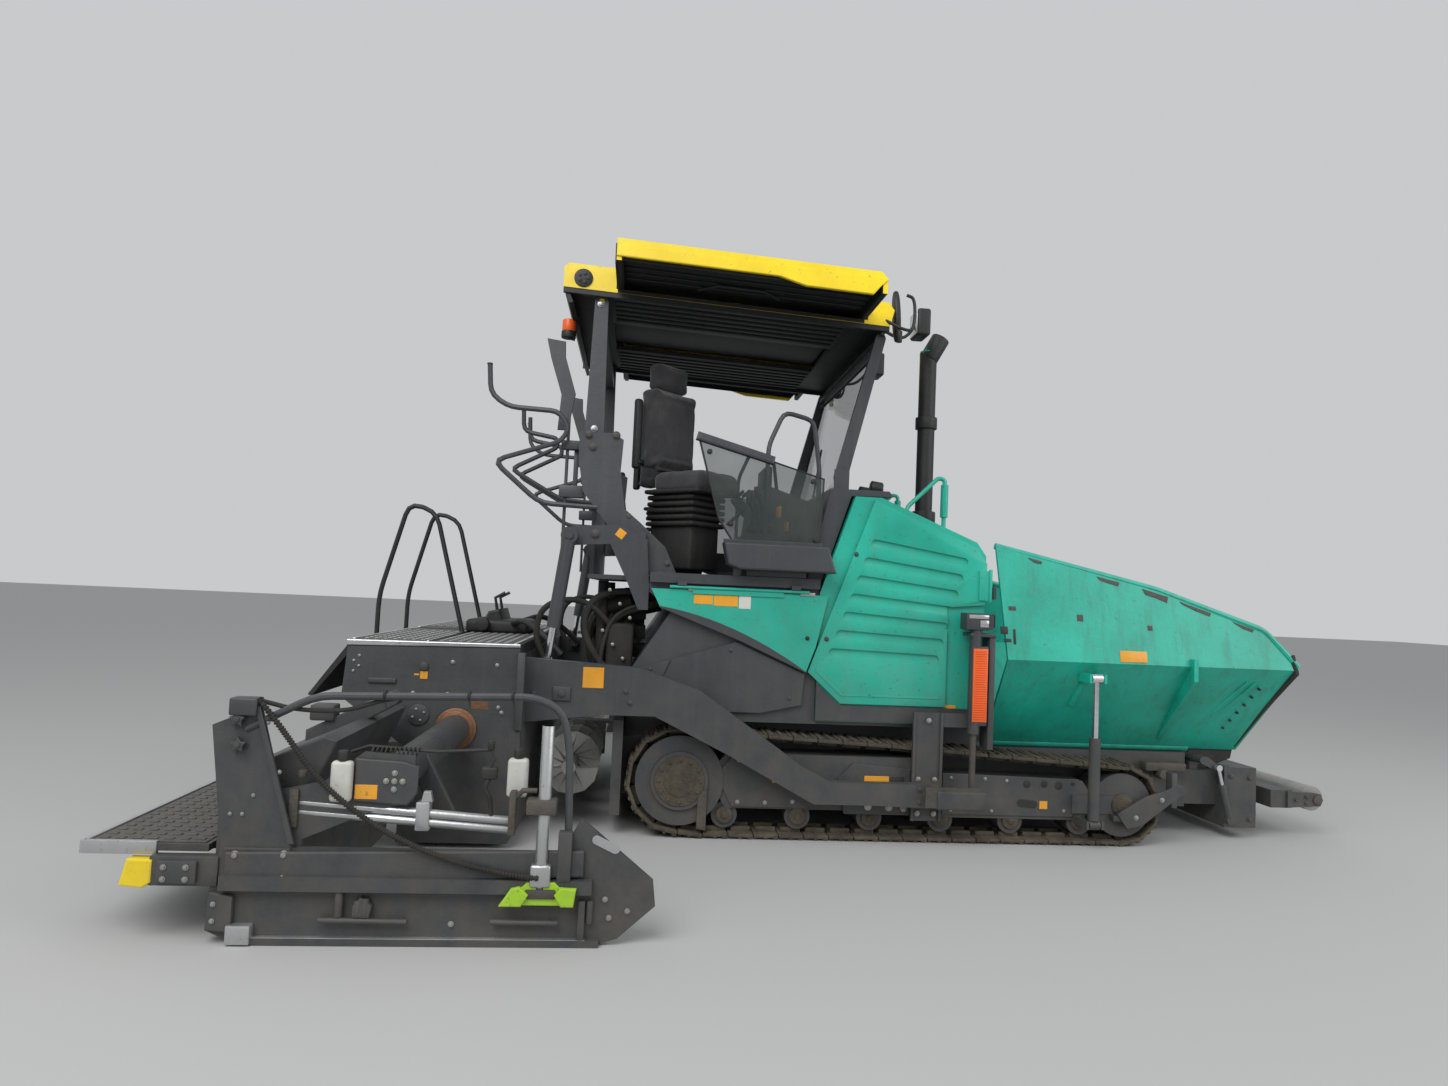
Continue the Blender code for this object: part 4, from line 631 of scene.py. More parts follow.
# a cushion blown up from a block by cloth pressure, with its middle cap held to a few millimetres
def cushion(name, low, high, body, turn, place, roundness=0.03):
    v = {'voxel': 0.016, 'frames': 14, 'pressure': 3.5, 'most': 0.016}
    obj = block(low, high, roundness, 3)
    deselect()
    obj.select_set(True)
    bpy.context.view_layer.objects.active = obj
    bpy.ops.object.transform_apply(location=True, rotation=True, scale=True)
    mesh = obj.modifiers.new('mesh', 'REMESH')
    mesh.mode = 'VOXEL'
    mesh.voxel_size = v['voxel']
    bpy.ops.object.modifier_apply(modifier='mesh')
    before = [vert.co.copy() for vert in obj.data.vertices]
    cloth = obj.modifiers.new('cloth', 'CLOTH')
    cloth.settings.use_pressure = True
    cloth.settings.uniform_pressure_force = v['pressure']
    cloth.settings.effector_weights.gravity = 0.0
    cloth.settings.quality = 4
    for frameNumber in range(1, v['frames'] + 1):
        bpy.context.scene.frame_set(frameNumber)
    bpy.ops.object.modifier_apply(modifier='cloth')
    bpy.context.scene.frame_set(1)
    # a sewn seam sinks in round the cushion and across its face
    middle = (Vector(low) + Vector(high)) / 2
    half = (Vector(high) - Vector(low)) / 2
    for vert, start in zip(obj.data.vertices, before):
        move = vert.co - start
        if move.length > v['most']:
            move *= v['most'] / move.length
        vert.co = start + move
        local = [(start[i] - middle[i]) / half[i] for i in range(3)]
        flat = min(range(3), key=lambda i: half[i])
        across = [i for i in range(3) if i != flat]
        edge = max(abs(local[i]) for i in across)
        dip = 0.008 * math.exp(-((edge - 0.72) / 0.05) ** 2)
        vert.co[flat] -= math.copysign(dip, local[flat]) if abs(local[flat]) > 0.4 else 0.0
    obj.data.transform(Matrix.Translation(place) @ turn)
    soft = obj.modifiers.new('soft', 'SUBSURF')
    soft.levels = soft.render_levels = 1
    bpy.ops.object.modifier_apply(modifier='soft')
    settle(obj, name, 'fabric', body, 60)
    return obj


# seats on bellows, turned outwards
def seats(side, s):
    v = {'place': (0.34, 0.71), 'turn': 45, 'folds': 5}
    turn = Matrix.Rotation(s * math.radians(v['turn']), 4, 'Z')
    place = at(v['place'][0], s * v['place'][1], 0)
    cushion('seat_cushion_' + side, (-0.20, -0.21, 2.268), (0.27, 0.21, 2.388), 'tractor', turn, place)
    back = cushion('seat_back_cushion_' + side, (-0.345, -0.222, 2.43), (-0.175, 0.222, 3.01),
                   'seat_back_' + side, turn, place)
    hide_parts('seat_back_' + side)
    cushion('headrest_' + side, (-0.345, -0.155, 3.01), (-0.215, 0.155, 3.20), 'seat_back_' + side, turn,
            place)
    folds = []
    for i in range(v['folds']):
        z = 2.02 + i * 0.046
        folds.append(block((-0.27, -0.18, z), (0.17, 0.18, z + 0.034), 0.016, 3))
        folds.append(block((-0.23, -0.15, z + 0.02), (0.14, 0.15, z + 0.06), 0.01, 2))
    folds.append(block((-0.25, -0.15, 1.72), (0.14, 0.15, 2.03), 0.02, 3))
    folds.append(block((-0.27, -0.21, 2.245), (0.24, 0.21, 2.275), 0.012, 3))
    bellows = joined(folds)
    bellows.data.transform(Matrix.Translation(place) @ turn)
    settle(bellows, 'seat_bellows_' + side, 'rubber', 'tractor')
    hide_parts('seat_' + side)
    arms = []
    for y in (-0.262, 0.262):
        arms.append(block((-0.335, y - 0.03, 2.42), (-0.285, y + 0.03, 2.92), 0.02, 4))
        arms.append(bar((-0.30, y * 0.8, 2.47), (-0.30, y * 1.05, 2.47), 0.022, 20, 0.004))
    arms.append(bar((-0.285, -0.06, 2.96), (-0.285, -0.06, 3.06), 0.007, 12))
    arms.append(bar((-0.285, 0.06, 2.96), (-0.285, 0.06, 3.06), 0.007, 12))
    arms.append(block((-0.34, -0.19, 2.46), (-0.318, 0.19, 2.96), 0.01, 3))
    arms.append(bar((-0.16, -0.205, 2.4203), (-0.16, 0.205, 2.4203), 0.02, 20, 0.003))
    arms = joined(arms)
    arms.data.transform(Matrix.Translation(place) @ turn)
    settle(arms, 'seat_arms_' + side, 'black', 'seat_back_' + side)


# see-through pane, pad and blank box of the side screen
def sideScreen(side, s):
    y = s * 1.135
    pane = plate([(0.345, 2.60), (1.195, 2.36), (1.18, 1.915), (0.60, 1.915), (0.50, 2.06)],
                 y - s * 0.005, y + s * 0.005, 0.002)
    settle(pane, 'side_pane_' + side, 'glass', 'tractor')
    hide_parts('side_screen_' + side)
    frame = [plate([(0.53, 1.90), (1.21, 1.90), (1.27, 1.73), (0.64, 1.73), (0.56, 1.76)],
                   s * 1.125, s * 1.30, 0.012),
             plate([(0.325, 2.575), (0.34, 2.63), (0.86, 2.49), (0.85, 2.435)], s * 1.105, s * 1.165,
                   0.014),
             plate([(0.90, 1.88), (1.20, 1.88), (1.20, 1.93), (0.54, 1.93), (0.54, 1.88)], s * 1.12,
                   s * 1.15, 0.004),
             block(at(0.70, s * 1.09, 1.69), at(1.10, s * 1.14, 1.76), 0.006)]
    settle(joined(frame), 'side_box_' + side, 'slate', 'tractor')
    route = [at(x, y, z) for x, z in ((0.345, 2.60), (1.195, 2.36), (1.18, 1.915), (0.60, 1.915),
                                      (0.50, 2.06),
                                      (0.345, 2.60))]
    knobs = [tube(route, 0.007, 2)]
    for x, z in ((0.58, 2.03), (1.15, 1.95), (1.12, 2.34), (0.42, 2.50)):
        knobs.append(bar(at(x, y, z), at(x, y + s * 0.022, z), 0.018, 24, 0.005))
    settle(joined(knobs), 'side_screen_edge_' + side, 'black', 'tractor')


# wheel, console, levers and blank stickers in front of the seats
def controls():
    deselect()
    parts = []
    for y in (0.62,):
        bpy.ops.mesh.primitive_torus_add(major_radius=0.175, minor_radius=0.013, major_segments=48,
                                         minor_segments=12,
                                         location=at(0.855, y, 2.285), rotation=(0, math.radians(-45), 0))
        ring = bpy.context.object
        bpy.ops.object.transform_apply(location=True, rotation=True, scale=True)
        parts.append(ring)
    for y in (-0.86, -0.62, -0.38):
        parts.append(tube([at(0.80, y, 1.98), at(0.83, y, 2.18), at(0.79, y, 2.26)], 0.012, 3, True))
        parts.append(bar(at(0.79, y, 2.24), at(0.78, y, 2.32), 0.022, 20, 0.008))
    parts.append(block(at(0.70, -0.98, 1.88), at(1.02, -0.30, 1.99), 0.02, 3))
    parts.append(block(at(0.74, -0.90, 2.0), at(0.90, -0.45, 2.05), 0.015, 3))
    parts.append(block(at(0.92, -0.20, 2.36), at(0.98, 0.20, 2.56), 0.012, 3))
    for i in range(6):
        for j in range(3):
            parts.append(bar(at(0.76 + j * 0.05, -0.20 + i * 0.08, 2.34 + j * 0.008),
                             at(0.755 + j * 0.05, -0.20 + i * 0.08, 2.365 + j * 0.008), 0.012, 14, 0.003))
    settle(joined(parts), 'controls', 'black', 'tractor')
    marks = [block(at(0.98, -0.60, 2.14), at(1.00, -0.46, 2.22), 0.002),
             block(at(0.99, -0.94, 2.02), at(1.0, -0.80, 2.08), 0.002),
             block(at(0.955, -0.10, 2.40), at(0.96, 0.10, 2.53), 0.002)]
    settle(joined(marks), 'control_labels', 'amber', 'tractor')
    rim = []
    for s in (-1, 1):
        rim.append(bar(at(1.372, s * 0.93, 2.34), at(1.587, s * 0.93, 3.30), 0.010, 12))
    for x, z in ((1.368, 2.34), (1.587, 3.30)):
        rim.append(bar(at(x, -0.93, z), at(x, 0.93, z), 0.010, 12))
    rim.append(tube([at(1.362, 0.1, 2.36), at(1.45, 0.30, 2.75), at(1.46, 0.32, 2.80)], 0.008, 3))
    settle(joined(rim), 'windscreen_rubber', 'rubber', 'tractor')


# bent bracket, pins, hoses and valves behind the platform
def rearDetail(side, s):
    bracket = plate([(-0.70, 3.24), (-0.575, 3.225), (-0.57, 3.12), (-0.49, 2.87), (-0.53, 2.62),
                     (-0.60, 2.62),
                     (-0.585, 2.86), (-0.665, 3.10)], s * 0.915, s * 0.935, 0.004)
    settle(bracket, 'bent_bracket_' + side, 'slate', 'canopy_rear')
    y = s * 1.045
    pins = [bolts([(-0.35, 2.50), (-0.20, 2.585), (-0.38, 2.58)], y, s, 0.020),
            bolts([(0.02, 1.75), (0.18, 1.75)], y, s, 0.014),
            bar(at(-0.09, y - s * 0.002, 2.055), at(-0.09, y + s * 0.005, 2.055), 0.018, 24, 0.002)]
    settle(joined(pins), 'arm_pins_' + side, 'iron', 'tractor')
    settle(bolts([(-0.35, 2.63), (-0.35, 3.48), (-0.35, 3.56)], s * 0.996, s, 0.016), 'post_pins_' + side,
           'steel',
           'canopy_rear')
    y = s * 1.105
    settle(bolts([(-0.46, 1.90), (-0.30, 1.92)], y, s, 0.022), 'lift_pin_heads_' + side, 'iron',
           'tractor')
    mark = block((-0.028, -0.001, -0.028), (0.028, 0.002, 0.028), 0.001, 1)
    deselect()
    mark.select_set(True)
    bpy.context.view_layer.objects.active = mark
    mark.data.transform(Matrix.Translation(at(-0.135, y, 1.93)) @ Matrix.Rotation(math.radians(35), 4,
        'Y'))
    settle(mark, 'arm_label_' + side, 'amber', 'tractor')
    pole = [bar(at(-0.52, s * 0.985, 1.70), at(-0.52, s * 0.985, 2.72), 0.011, 14),
            block(at(-0.56, s * 0.95, 2.16), at(-0.40, s * 1.02, 2.24), 0.006),
            block(at(-0.56, s * 0.95, 2.48), at(-0.40, s * 1.02, 2.54), 0.006),
            block(at(-0.475, s * 0.955, 2.16), at(-0.445, s * 0.98, 2.54), 0.004)]
    settle(joined(pole), 'rear_pole_' + side, 'slate', 'tractor')
    ends = []
    for x, z, yy in ((-1.045, 3.00, 1.065),):
        ends.append(bar(at(x, s * yy, z), at(x, s * yy, z + 0.012), 0.019, 20, 0.005))
    settle(joined(ends), 'rail_cap_' + side, 'black', 'tractor')


def hoses():
    v = {'count': 13, 'radius': 0.014}
    for side, s in sides:
        made = []
        for i in range(v['count']):
            t = i / (v['count'] - 1)
            y = s * (0.30 + 0.72 * t)
            wave = math.sin(i * 2.4)
            top = at(0.12 - 0.05 * wave, y * 0.92, 1.50 + 0.06 * math.cos(i * 1.7))
            low = at(-0.02 - 0.04 * math.cos(i * 3.1), y, 0.80 + 0.05 * wave)
            mid = at(-0.22 - 0.16 * abs(math.sin(i * 1.3)), y * (1.0 + 0.04 * wave), 1.20 + 0.14 * wave)
            made.append(tube([top, (top + mid) / 2 + Vector((-0.12, 0, 0.10)), mid,
                              (low + mid) / 2 + Vector((-0.08, s * 0.02, 0)), low],
                             v['radius'] + 0.005 * (i % 3), 3, True))
        for i in range(4):
            z = 1.10 + i * 0.13
            made.append(block(at(-0.10, s * (0.46 + 0.05 * (i % 2)), z),
                              at(0.06, s * (0.70 + 0.05 * (i % 2)), z + 0.09), 0.008, 2))
            made.append(bar(at(-0.13, s * (0.50 + 0.05 * (i % 2)), z + 0.045),
                            at(-0.09, s * (0.50 + 0.05 * (i % 2)), z + 0.045), 0.022, 16, 0.004))
        made.append(block(at(-0.20, s * 0.78, 0.98), at(-0.02, s * 0.98, 1.34), 0.02, 3))
        made.append(bar(at(-0.30, s * 0.80, 1.42), at(-0.05, s * 0.80, 1.50), 0.055, 28, 0.008))
        made.append(tube([at(-0.60, s * 0.90, 1.06), at(-0.68, s * 0.93, 1.25), at(-0.62, s * 0.95, 1.46),
                          at(-0.35, s * 0.97, 1.50), at(-0.15, s * 0.95, 1.30)], 0.020, 3, True))
        made.append(bar(at(-0.24, s * 0.86, 0.80), at(-0.24, s * 0.86, 1.62), 0.035, 20, 0.004))
        settle(joined(made), 'hydraulic_hoses_' + side, 'rubber', 'tractor')
        fittings = []
        for i in range(7):
            x, z = -0.26 + 0.035 * i, 1.02 + 0.09 * ((i * 3) % 7)
            fittings.append(bar(at(x, s * 0.985, z), at(x, s * 1.01, z), 0.013, 6, 0.002))
            fittings.append(bar(at(x, s * 0.60, z), at(x, s * 0.985, z), 0.007, 10))
        settle(joined(fittings), 'hydraulic_fittings_' + side, 'steel', 'tractor')


# levelling cylinder: sensor box, orange scale and channel
def levelDetail(side, s):
    channel = [block(at(2.305, s * 1.16, 0.63), at(2.345, s * 1.30, 1.38), 0.005),
               block(at(2.17, s * 1.16, 1.36), at(2.345, s * 1.31, 1.385), 0.005)]
    settle(joined(channel), 'level_channel_' + side, 'slate', 'tractor')
    scale = [block(at(2.19, s * 1.312, 0.81), at(2.288, s * 1.322, 1.285), 0.004)]
    for i in range(30):
        z = 0.83 + i * 0.015
        scale.append(block(at(2.20, s * 1.320, z), at(2.278, s * 1.327, z + 0.006), 0.001, 1))
    settle(joined(scale), 'level_scale_' + side, 'orange', 'tractor')
    case = [block(at(2.135, s * 1.20, 1.405), at(2.292, s * 1.325, 1.515), 0.008, 3),
            block(at(2.185, s * 1.24, 0.785), at(2.293, s * 1.313, 1.30), 0.006)]
    settle(joined(case), 'level_box_' + side, 'slate', 'tractor')
    lens = [block(at(2.225, s * 1.323, 1.425), at(2.283, s * 1.330, 1.47), 0.003),
            block(at(2.15, s * 1.323, 1.48), at(2.283, s * 1.329, 1.505), 0.003)]
    settle(joined(lens), 'level_lens_' + side, 'lamp', 'tractor')
    foot = [bar(at(2.21, s * 1.28, 0.30), at(2.21, s * 1.28, 0.37), 0.045, 24, 0.008),
            block(at(1.95, s * 1.375, 0.26), at(2.27, s * 1.395, 0.375), 0.01, 3)]
    settle(joined(foot), 'tow_link_' + side, 'slate', 'tow_points')
    rail = [bolts([(1.87, 0.42), (1.98, 0.42), (1.87, 0.20), (1.98, 0.20), (1.93, 0.80)], s * 1.241, s,
                  0.012)]
    settle(joined(rail), 'tow_rail_bolts_' + side, 'steel', 'tractor')
    marks = joined([label(2.06, 0.79, 2.15, 0.89, s * 1.121, s),
                    label(1.31, 0.80, 1.42, 0.86, s * 1.131, s)])
    settle(marks, 'skirt_labels_' + side, 'amber', 'tractor')


for side, s in sides:
    seats(side, s)
    sideScreen(side, s)
    rearDetail(side, s)
    levelDetail(side, s)
controls()
hoses()
print('platform done')


# closed route of the pads round sprocket, ground and idler
def trackRoute(inset):
    rear, front = 0.345 - inset, 0.27 - inset
    route = [(0.32 + rear * math.cos(math.radians(a)), 0.36 + rear * math.sin(math.radians(a)))
             for a in range(92, 264, 6)]
    route.append((0.42, inset))
    route += [(3.30 + front * math.cos(math.radians(a)), 0.27 + front * math.sin(math.radians(a)))
              for a in range(270, 447, 6)]
    last, first = route[-1], route[0]
    route.append(((last[0] + first[0]) / 2, (last[1] + first[1]) / 2 + 0.012))
    return route


def stations(route, pitch):
    legs = list(zip(route, route[1:] + route[:1]))
    total = sum(math.dist(a, b) for a, b in legs)
    count = round(total / pitch)
    step = total / count
    places = []
    done, k = 0.0, 0
    for a, b in legs:
        leg = math.dist(a, b)
        while k < count and k * step <= done + leg:
            t = (k * step - done) / leg if leg else 0
            lean = math.atan2(b[1] - a[1], b[0] - a[0])
            places.append((a[0] + (b[0] - a[0]) * t, a[1] + (b[1] - a[1]) * t, lean))
            k += 1
        done += leg
    return places


# shoes, grousers and chain links of one track
def trackDetail(side, s):
    v = {'in': 0.905, 'out': 1.200, 'pitch': 0.165}
    mid = s * (v['in'] + v['out']) / 2
    half = (v['out'] - v['in']) / 2
    shoeParts = [block((-0.079, -half, -0.034), (0.079, half, -0.012), 0.005, 2),
                 block((-0.079, -half + 0.004, -0.014), (-0.045, half - 0.004, 0.0), 0.006, 2),
                 block((-0.010, -half + 0.004, -0.014), (0.014, half - 0.004, 0.0), 0.006, 2),
                 block((0.055, -half + 0.012, -0.014), (0.075, half - 0.012, -0.002), 0.004, 2)]
    for y in (-0.055, 0.055):
        shoeParts.append(block((-0.070, y - 0.014, -0.062), (0.060, y + 0.014, -0.033), 0.006, 2))
    for y in (-0.10, 0.10):
        for x in (-0.03, 0.035):
            shoeParts.append(bar((x, y, -0.014), (x, y, -0.004), 0.009, 6))
    shoe = joined(shoeParts)
    made = []
    for x, z, lean in stations(trackRoute(0.0), v['pitch']):
        twin = shoe.copy()
        twin.data = shoe.data.copy()
        bpy.context.collection.objects.link(twin)
        # the route runs clockwise seen from the right, so a pad's outer face is on its right hand
        twin.data.transform(Matrix.Translation(at(x, mid, z)) @ Matrix.Rotation(-lean + math.pi, 4, 'Y'))
        made.append(twin)
    bpy.data.objects.remove(shoe, do_unlink=True)
    shoes = joined(made)
    settle(shoes, 'track_shoes_' + side, 'track', 'tractor', 40)
    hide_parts('track_' + side)


# gearbox cover, hubs, bolts, black discs as painted shade in the openings, and blank stickers on the
# track frame
def trackFrameDetail(side, s):
    face = s * 1.16
    covers = [bar(at(0.32, s * 1.19, 0.36), at(0.32, s * 1.206, 0.36), 0.16, 48, 0.010),
              bar(at(0.32, s * 1.20, 0.36), at(0.32, s * 1.212, 0.36), 0.10, 40, 0.006)]
    ring = [(0.32 + 0.135 * math.cos(i * math.pi / 6),
             0.36 + 0.135 * math.sin(i * math.pi / 6)) for i in range(12)]
    covers.append(bolts(ring, s * 1.206, s, 0.008))
    for i in range(6):
        x = 0.62 + i * 0.48
        covers.append(bar(at(x, s * 1.14, 0.1433), at(x, s * 1.158, 0.1433), 0.055, 28, 0.008))
        covers.append(bar(at(x, s * 1.155, 0.1433), at(x, s * 1.166, 0.1433), 0.022, 6, 0.002))
    covers.append(bar(at(3.30, s * 1.17, 0.27), at(3.30, s * 1.195, 0.27), 0.075, 36, 0.008))
    settle(joined(covers), 'track_hubs_' + side, 'track', 'tractor')
    plates = [plate([(1.40, 0.17), (1.84, 0.17), (1.84, 0.47), (1.46, 0.50), (1.36, 0.40)], face,
                    face + s * 0.018, 0.004),
              plate([(2.06, 0.18), (3.02, 0.18), (3.10, 0.27), (3.0, 0.43), (2.06, 0.45)], face,
                    face + s * 0.008, 0.003),
              plate([(0.66, 0.20), (1.20, 0.20), (1.05, 0.53), (0.66, 0.53), (0.56, 0.40)], face,
                    face + s * 0.010, 0.004),
              plate([(3.24, 0.22), (3.31, 0.125), (3.42, 0.15), (3.72, 0.375), (3.70, 0.41), (3.66, 0.43),
                     (3.60, 0.39),
                     (3.44, 0.34)], s * 1.212, s * 1.236, 0.005),
              block(at(3.22, s * 1.17, 0.17), at(3.34, s * 1.225, 0.21), 0.006),
              block(at(3.62, s * 1.16, 0.27), at(3.66, s * 1.235, 0.50), 0.006)]
    settle(joined(plates), 'track_plates_' + side, 'slate', 'tractor')
    heads = [bolts([(1.56, 0.222), (1.70, 0.220), (1.80, 0.217)], face + s * 0.018, s, 0.017),
             bolts([(2.12, 0.42), (2.35, 0.42), (2.50, 0.41), (2.12, 0.21), (2.40, 0.21), (2.90, 0.22)],
                   face + s * 0.008, s, 0.008),
             bolts([(0.70, 0.23), (0.88, 0.23), (1.06, 0.24), (0.70, 0.50), (0.86, 0.50)],
                   face + s * 0.010, s, 0.010),
             bolts([(3.37, 0.20), (3.55, 0.32)], s * 1.236, s, 0.012)]
    settle(joined(heads), 'track_bolts_' + side, 'steel', 'tractor')
    # black discs, a black slot and a black block on the face where the frame has openings: painted shade
    # for the dark inside of the holes
    opening_shade = [bar(at(x, face + s * 0.004, z), at(x, face + s * 0.0095, z), r, 28, 0.001)
             for x, z, r in ((2.64, 0.391, 0.026), (2.76, 0.394, 0.024), (2.86, 0.386, 0.028),
                             (2.96, 0.40, 0.014))]
    opening_shade.append(plate(pill((2.60, 0.265), (2.69, 0.258), 0.026), face + s * 0.004, face + s * 0.0095,
                       0.001))
    opening_shade.append(block(at(1.70, face + s * 0.012, 0.345), at(1.80, face + s * 0.0195, 0.42), 0.003))
    settle(joined(opening_shade), 'track_openings_' + side, 'black', 'tractor')
    marks = joined([label(1.53, 0.335, 1.695, 0.42, face + s * 0.019, s),
                    label(2.73, 0.23, 2.785, 0.282, face + s * 0.009, s),
                    label(0.92, 0.36, 0.96, 0.40, face + s * 0.011, s)])
    settle(marks, 'track_labels_' + side, 'amber', 'tractor')
    tail = [plate([(0.44, 0.06), (0.50, 0.05), (0.50, 0.30), (0.44, 0.30)], s * 1.05, s * 1.20, 0.004)]
    settle(joined(tail), 'track_scraper_' + side, 'iron', 'tractor')


for side, s in sides:
    trackDetail(side, s)
    trackFrameDetail(side, s)
print('tracks done')
# hopper: rust along the rim, stickers, ribs and the rubber front edge
def wingAt(z):
    return 1.274 - 0.2 * (z - 1.22)


def wingLow(z):
    return 0.805 + (1.274 - 0.805) * (z - 0.615) / (1.22 - 0.615)


def hopperDetail(side, s):
    lean = math.atan(0.2)
    tilt = Matrix.Rotation(s * lean, 4, 'X')

    def onPanel(x, z, wide, high, thick, bevel=0.0015):
        obj = block((-wide / 2, -thick, -high / 2), (wide / 2, thick, high / 2), bevel, 2)
        obj.data.transform(Matrix.Translation(at(x, s * (wingAt(z) + 0.0015), z)) @ tilt)
        return obj
    settle(onPanel(3.315, 1.27, 0.19, 0.075, 0.0025), 'hopper_label_' + side, 'amber',
           'hopper_wing_' + side)
    pocket = [onPanel(2.425, 1.41, 0.05, 0.05, 0.003), onPanel(2.445, 1.345, 0.05, 0.022, 0.003),
              onPanel(2.495, 1.37, 0.016, 0.10, 0.003)]
    settle(joined(pocket), 'hopper_pocket_' + side, 'black', 'hopper_wing_' + side)
    for k, (x, z, wide, high) in enumerate(((2.49, 1.557, 0.05, 0.028), (2.96, 1.513, 0.042, 0.045),
                                            (3.45, 1.465, 0.034, 0.034))):
        dent = onPanel(x, z, wide, high, 0.0016, 0.001)
        settle(dent, 'hopper_chip_%d_%s' % (k, side), 'iron', 'hopper_wing_' + side)
    rust = []
    for x0, x1, down in ((2.62, 2.72, 0.010), (3.10, 3.26, 0.018), (3.42, 3.60, 0.034),
                         (3.68, 3.90, 0.014), (4.05, 4.20, 0.010)):
        z0 = 1.975 - (x0 - 2.40) * 0.2187 if x0 < 3.52 else 1.73 - (x0 - 3.52) * 0.329
        z1 = 1.975 - (x1 - 2.40) * 0.2187 if x1 < 3.52 else 1.73 - (x1 - 3.52) * 0.329
        middle = (z0 + z1) / 2 - 0.028 - down / 2
        piece = plate([(x0, z0 - 0.022), (x1, z1 - 0.022), (x1 - 0.01, z1 - 0.03 - down),
                       ((x0 + x1) / 2, middle - 0.012),
                       (x0 + 0.02, z0 - 0.028 - down)], -0.0022, 0.0022, 0.001)
        piece.data.transform(Matrix.Translation((0, s * (wingAt(middle) + 0.002), middle)) @ tilt
                             @ Matrix.Translation((0, 0, -middle)))
        rust.append(piece)
    settle(joined(rust), 'hopper_rust_' + side, 'iron', 'hopper_wing_' + side)
    edge = tube([at(4.335, s * wingLow(0.62), 0.62), at(4.40, s * (wingLow(0.92) - 0.004), 0.92),
                 at(4.478, s * 1.262, 1.20), at(4.45, s * wingAt(1.32), 1.32)], 0.022, 4)
    flapEdge = [edge, plate([(4.02, 0.42), (4.33, 0.54), (4.40, 0.86), (4.30, 0.90), (4.00, 0.60)],
                            s * 0.80, s * 0.812, 0.004)]
    for t in range(6):
        flapEdge.append(bar(at(4.17 + 0.02 * t, s * (wingLow(0.78 + 0.06 * t) + 0.012), 0.78 + 0.06 * t),
                            at(4.17 + 0.02 * t, s * (wingLow(0.78 + 0.06 * t) + 0.030),
                               0.775 + 0.06 * t), 0.010, 6, 0.002))
    settle(joined(flapEdge), 'hopper_rubber_' + side, 'rubber', 'hopper_wing_' + side)
    ribs = []
    for x0 in (3.95, 4.01):
        ribs.append(bar(at(x0, s * (wingLow(0.76) + 0.010), 0.76),
                        at(x0 + 0.22, s * (wingLow(1.12) + 0.010), 1.12), 0.010, 12))
    ribs.append(bar(at(2.99, s * (wingLow(0.92) + 0.012), 0.92),
                    at(3.02, s * (wingLow(1.13) + 0.012), 1.13), 0.022, 14))
    settle(joined(ribs), 'hopper_ribs_' + side, 'hopperGreen', 'hopper_wing_' + side)
    for name, key in (('hopper_wing_', 'hopperGreen'), ('auger_', 'steel'), ('tow_point_', 'iron')):
        if name + side in bpy.data.objects:
            for slot in bpy.data.objects[name + side].material_slots:
                slot.material = materials[key]


# front block, push bar bolts and scrapers
def frontDetail():
    parts = []
    for s in (-1, 1):
        parts.append(bolts([(4.24, 0.44), (4.38, 0.43), (4.24, 0.14), (4.38, 0.14)], s * 0.951, s, 0.013))
        parts.append(bar(at(4.925, s * 0.915, 0.277), at(4.925, s * 0.928, 0.277), 0.034, 28, 0.005))
        parts.append(bolts([(4.76, 0.277), (4.84, 0.30), (4.84, 0.255)], s * 0.918, s, 0.010))
    settle(joined(parts[0::3] + []), 'front_bolts', 'iron', 'tractor')
    settle(joined(parts[1::3] + parts[2::3]), 'push_bolts', 'iron', 'push_bar')
    tow = [block(at(4.425, -0.30, 0.22), at(4.47, -0.12, 0.36), 0.008),
           block(at(4.425, 0.12, 0.22), at(4.47, 0.30, 0.36), 0.008),
           bar(at(4.455, -0.21, 0.12), at(4.455, -0.21, 0.46), 0.02, 20, 0.004),
           bar(at(4.455, 0.21, 0.12), at(4.455, 0.21, 0.46), 0.02, 20, 0.004)]
    for s in (-1, 1):
        tow.append(tube([at(4.00, s * 0.80, 0.47), at(4.10, s * 0.84, 0.52), at(4.20, s * 0.70, 0.50),
                         at(4.30, s * 0.72, 0.51)],
                        0.014, 3, True))
        tow.append(block(at(3.60, s * 0.88, 0.46), at(3.90, s * 0.96, 0.52), 0.01))
        tow.append(bar(at(3.72, s * 0.90, 0.44), at(3.72, s * 0.99, 0.44), 0.035, 24, 0.005))
    settle(joined(tow), 'front_fittings', 'iron', 'tractor')


for side, s in sides:
    hopperDetail(side, s)
frontDetail()
print('hopper done')


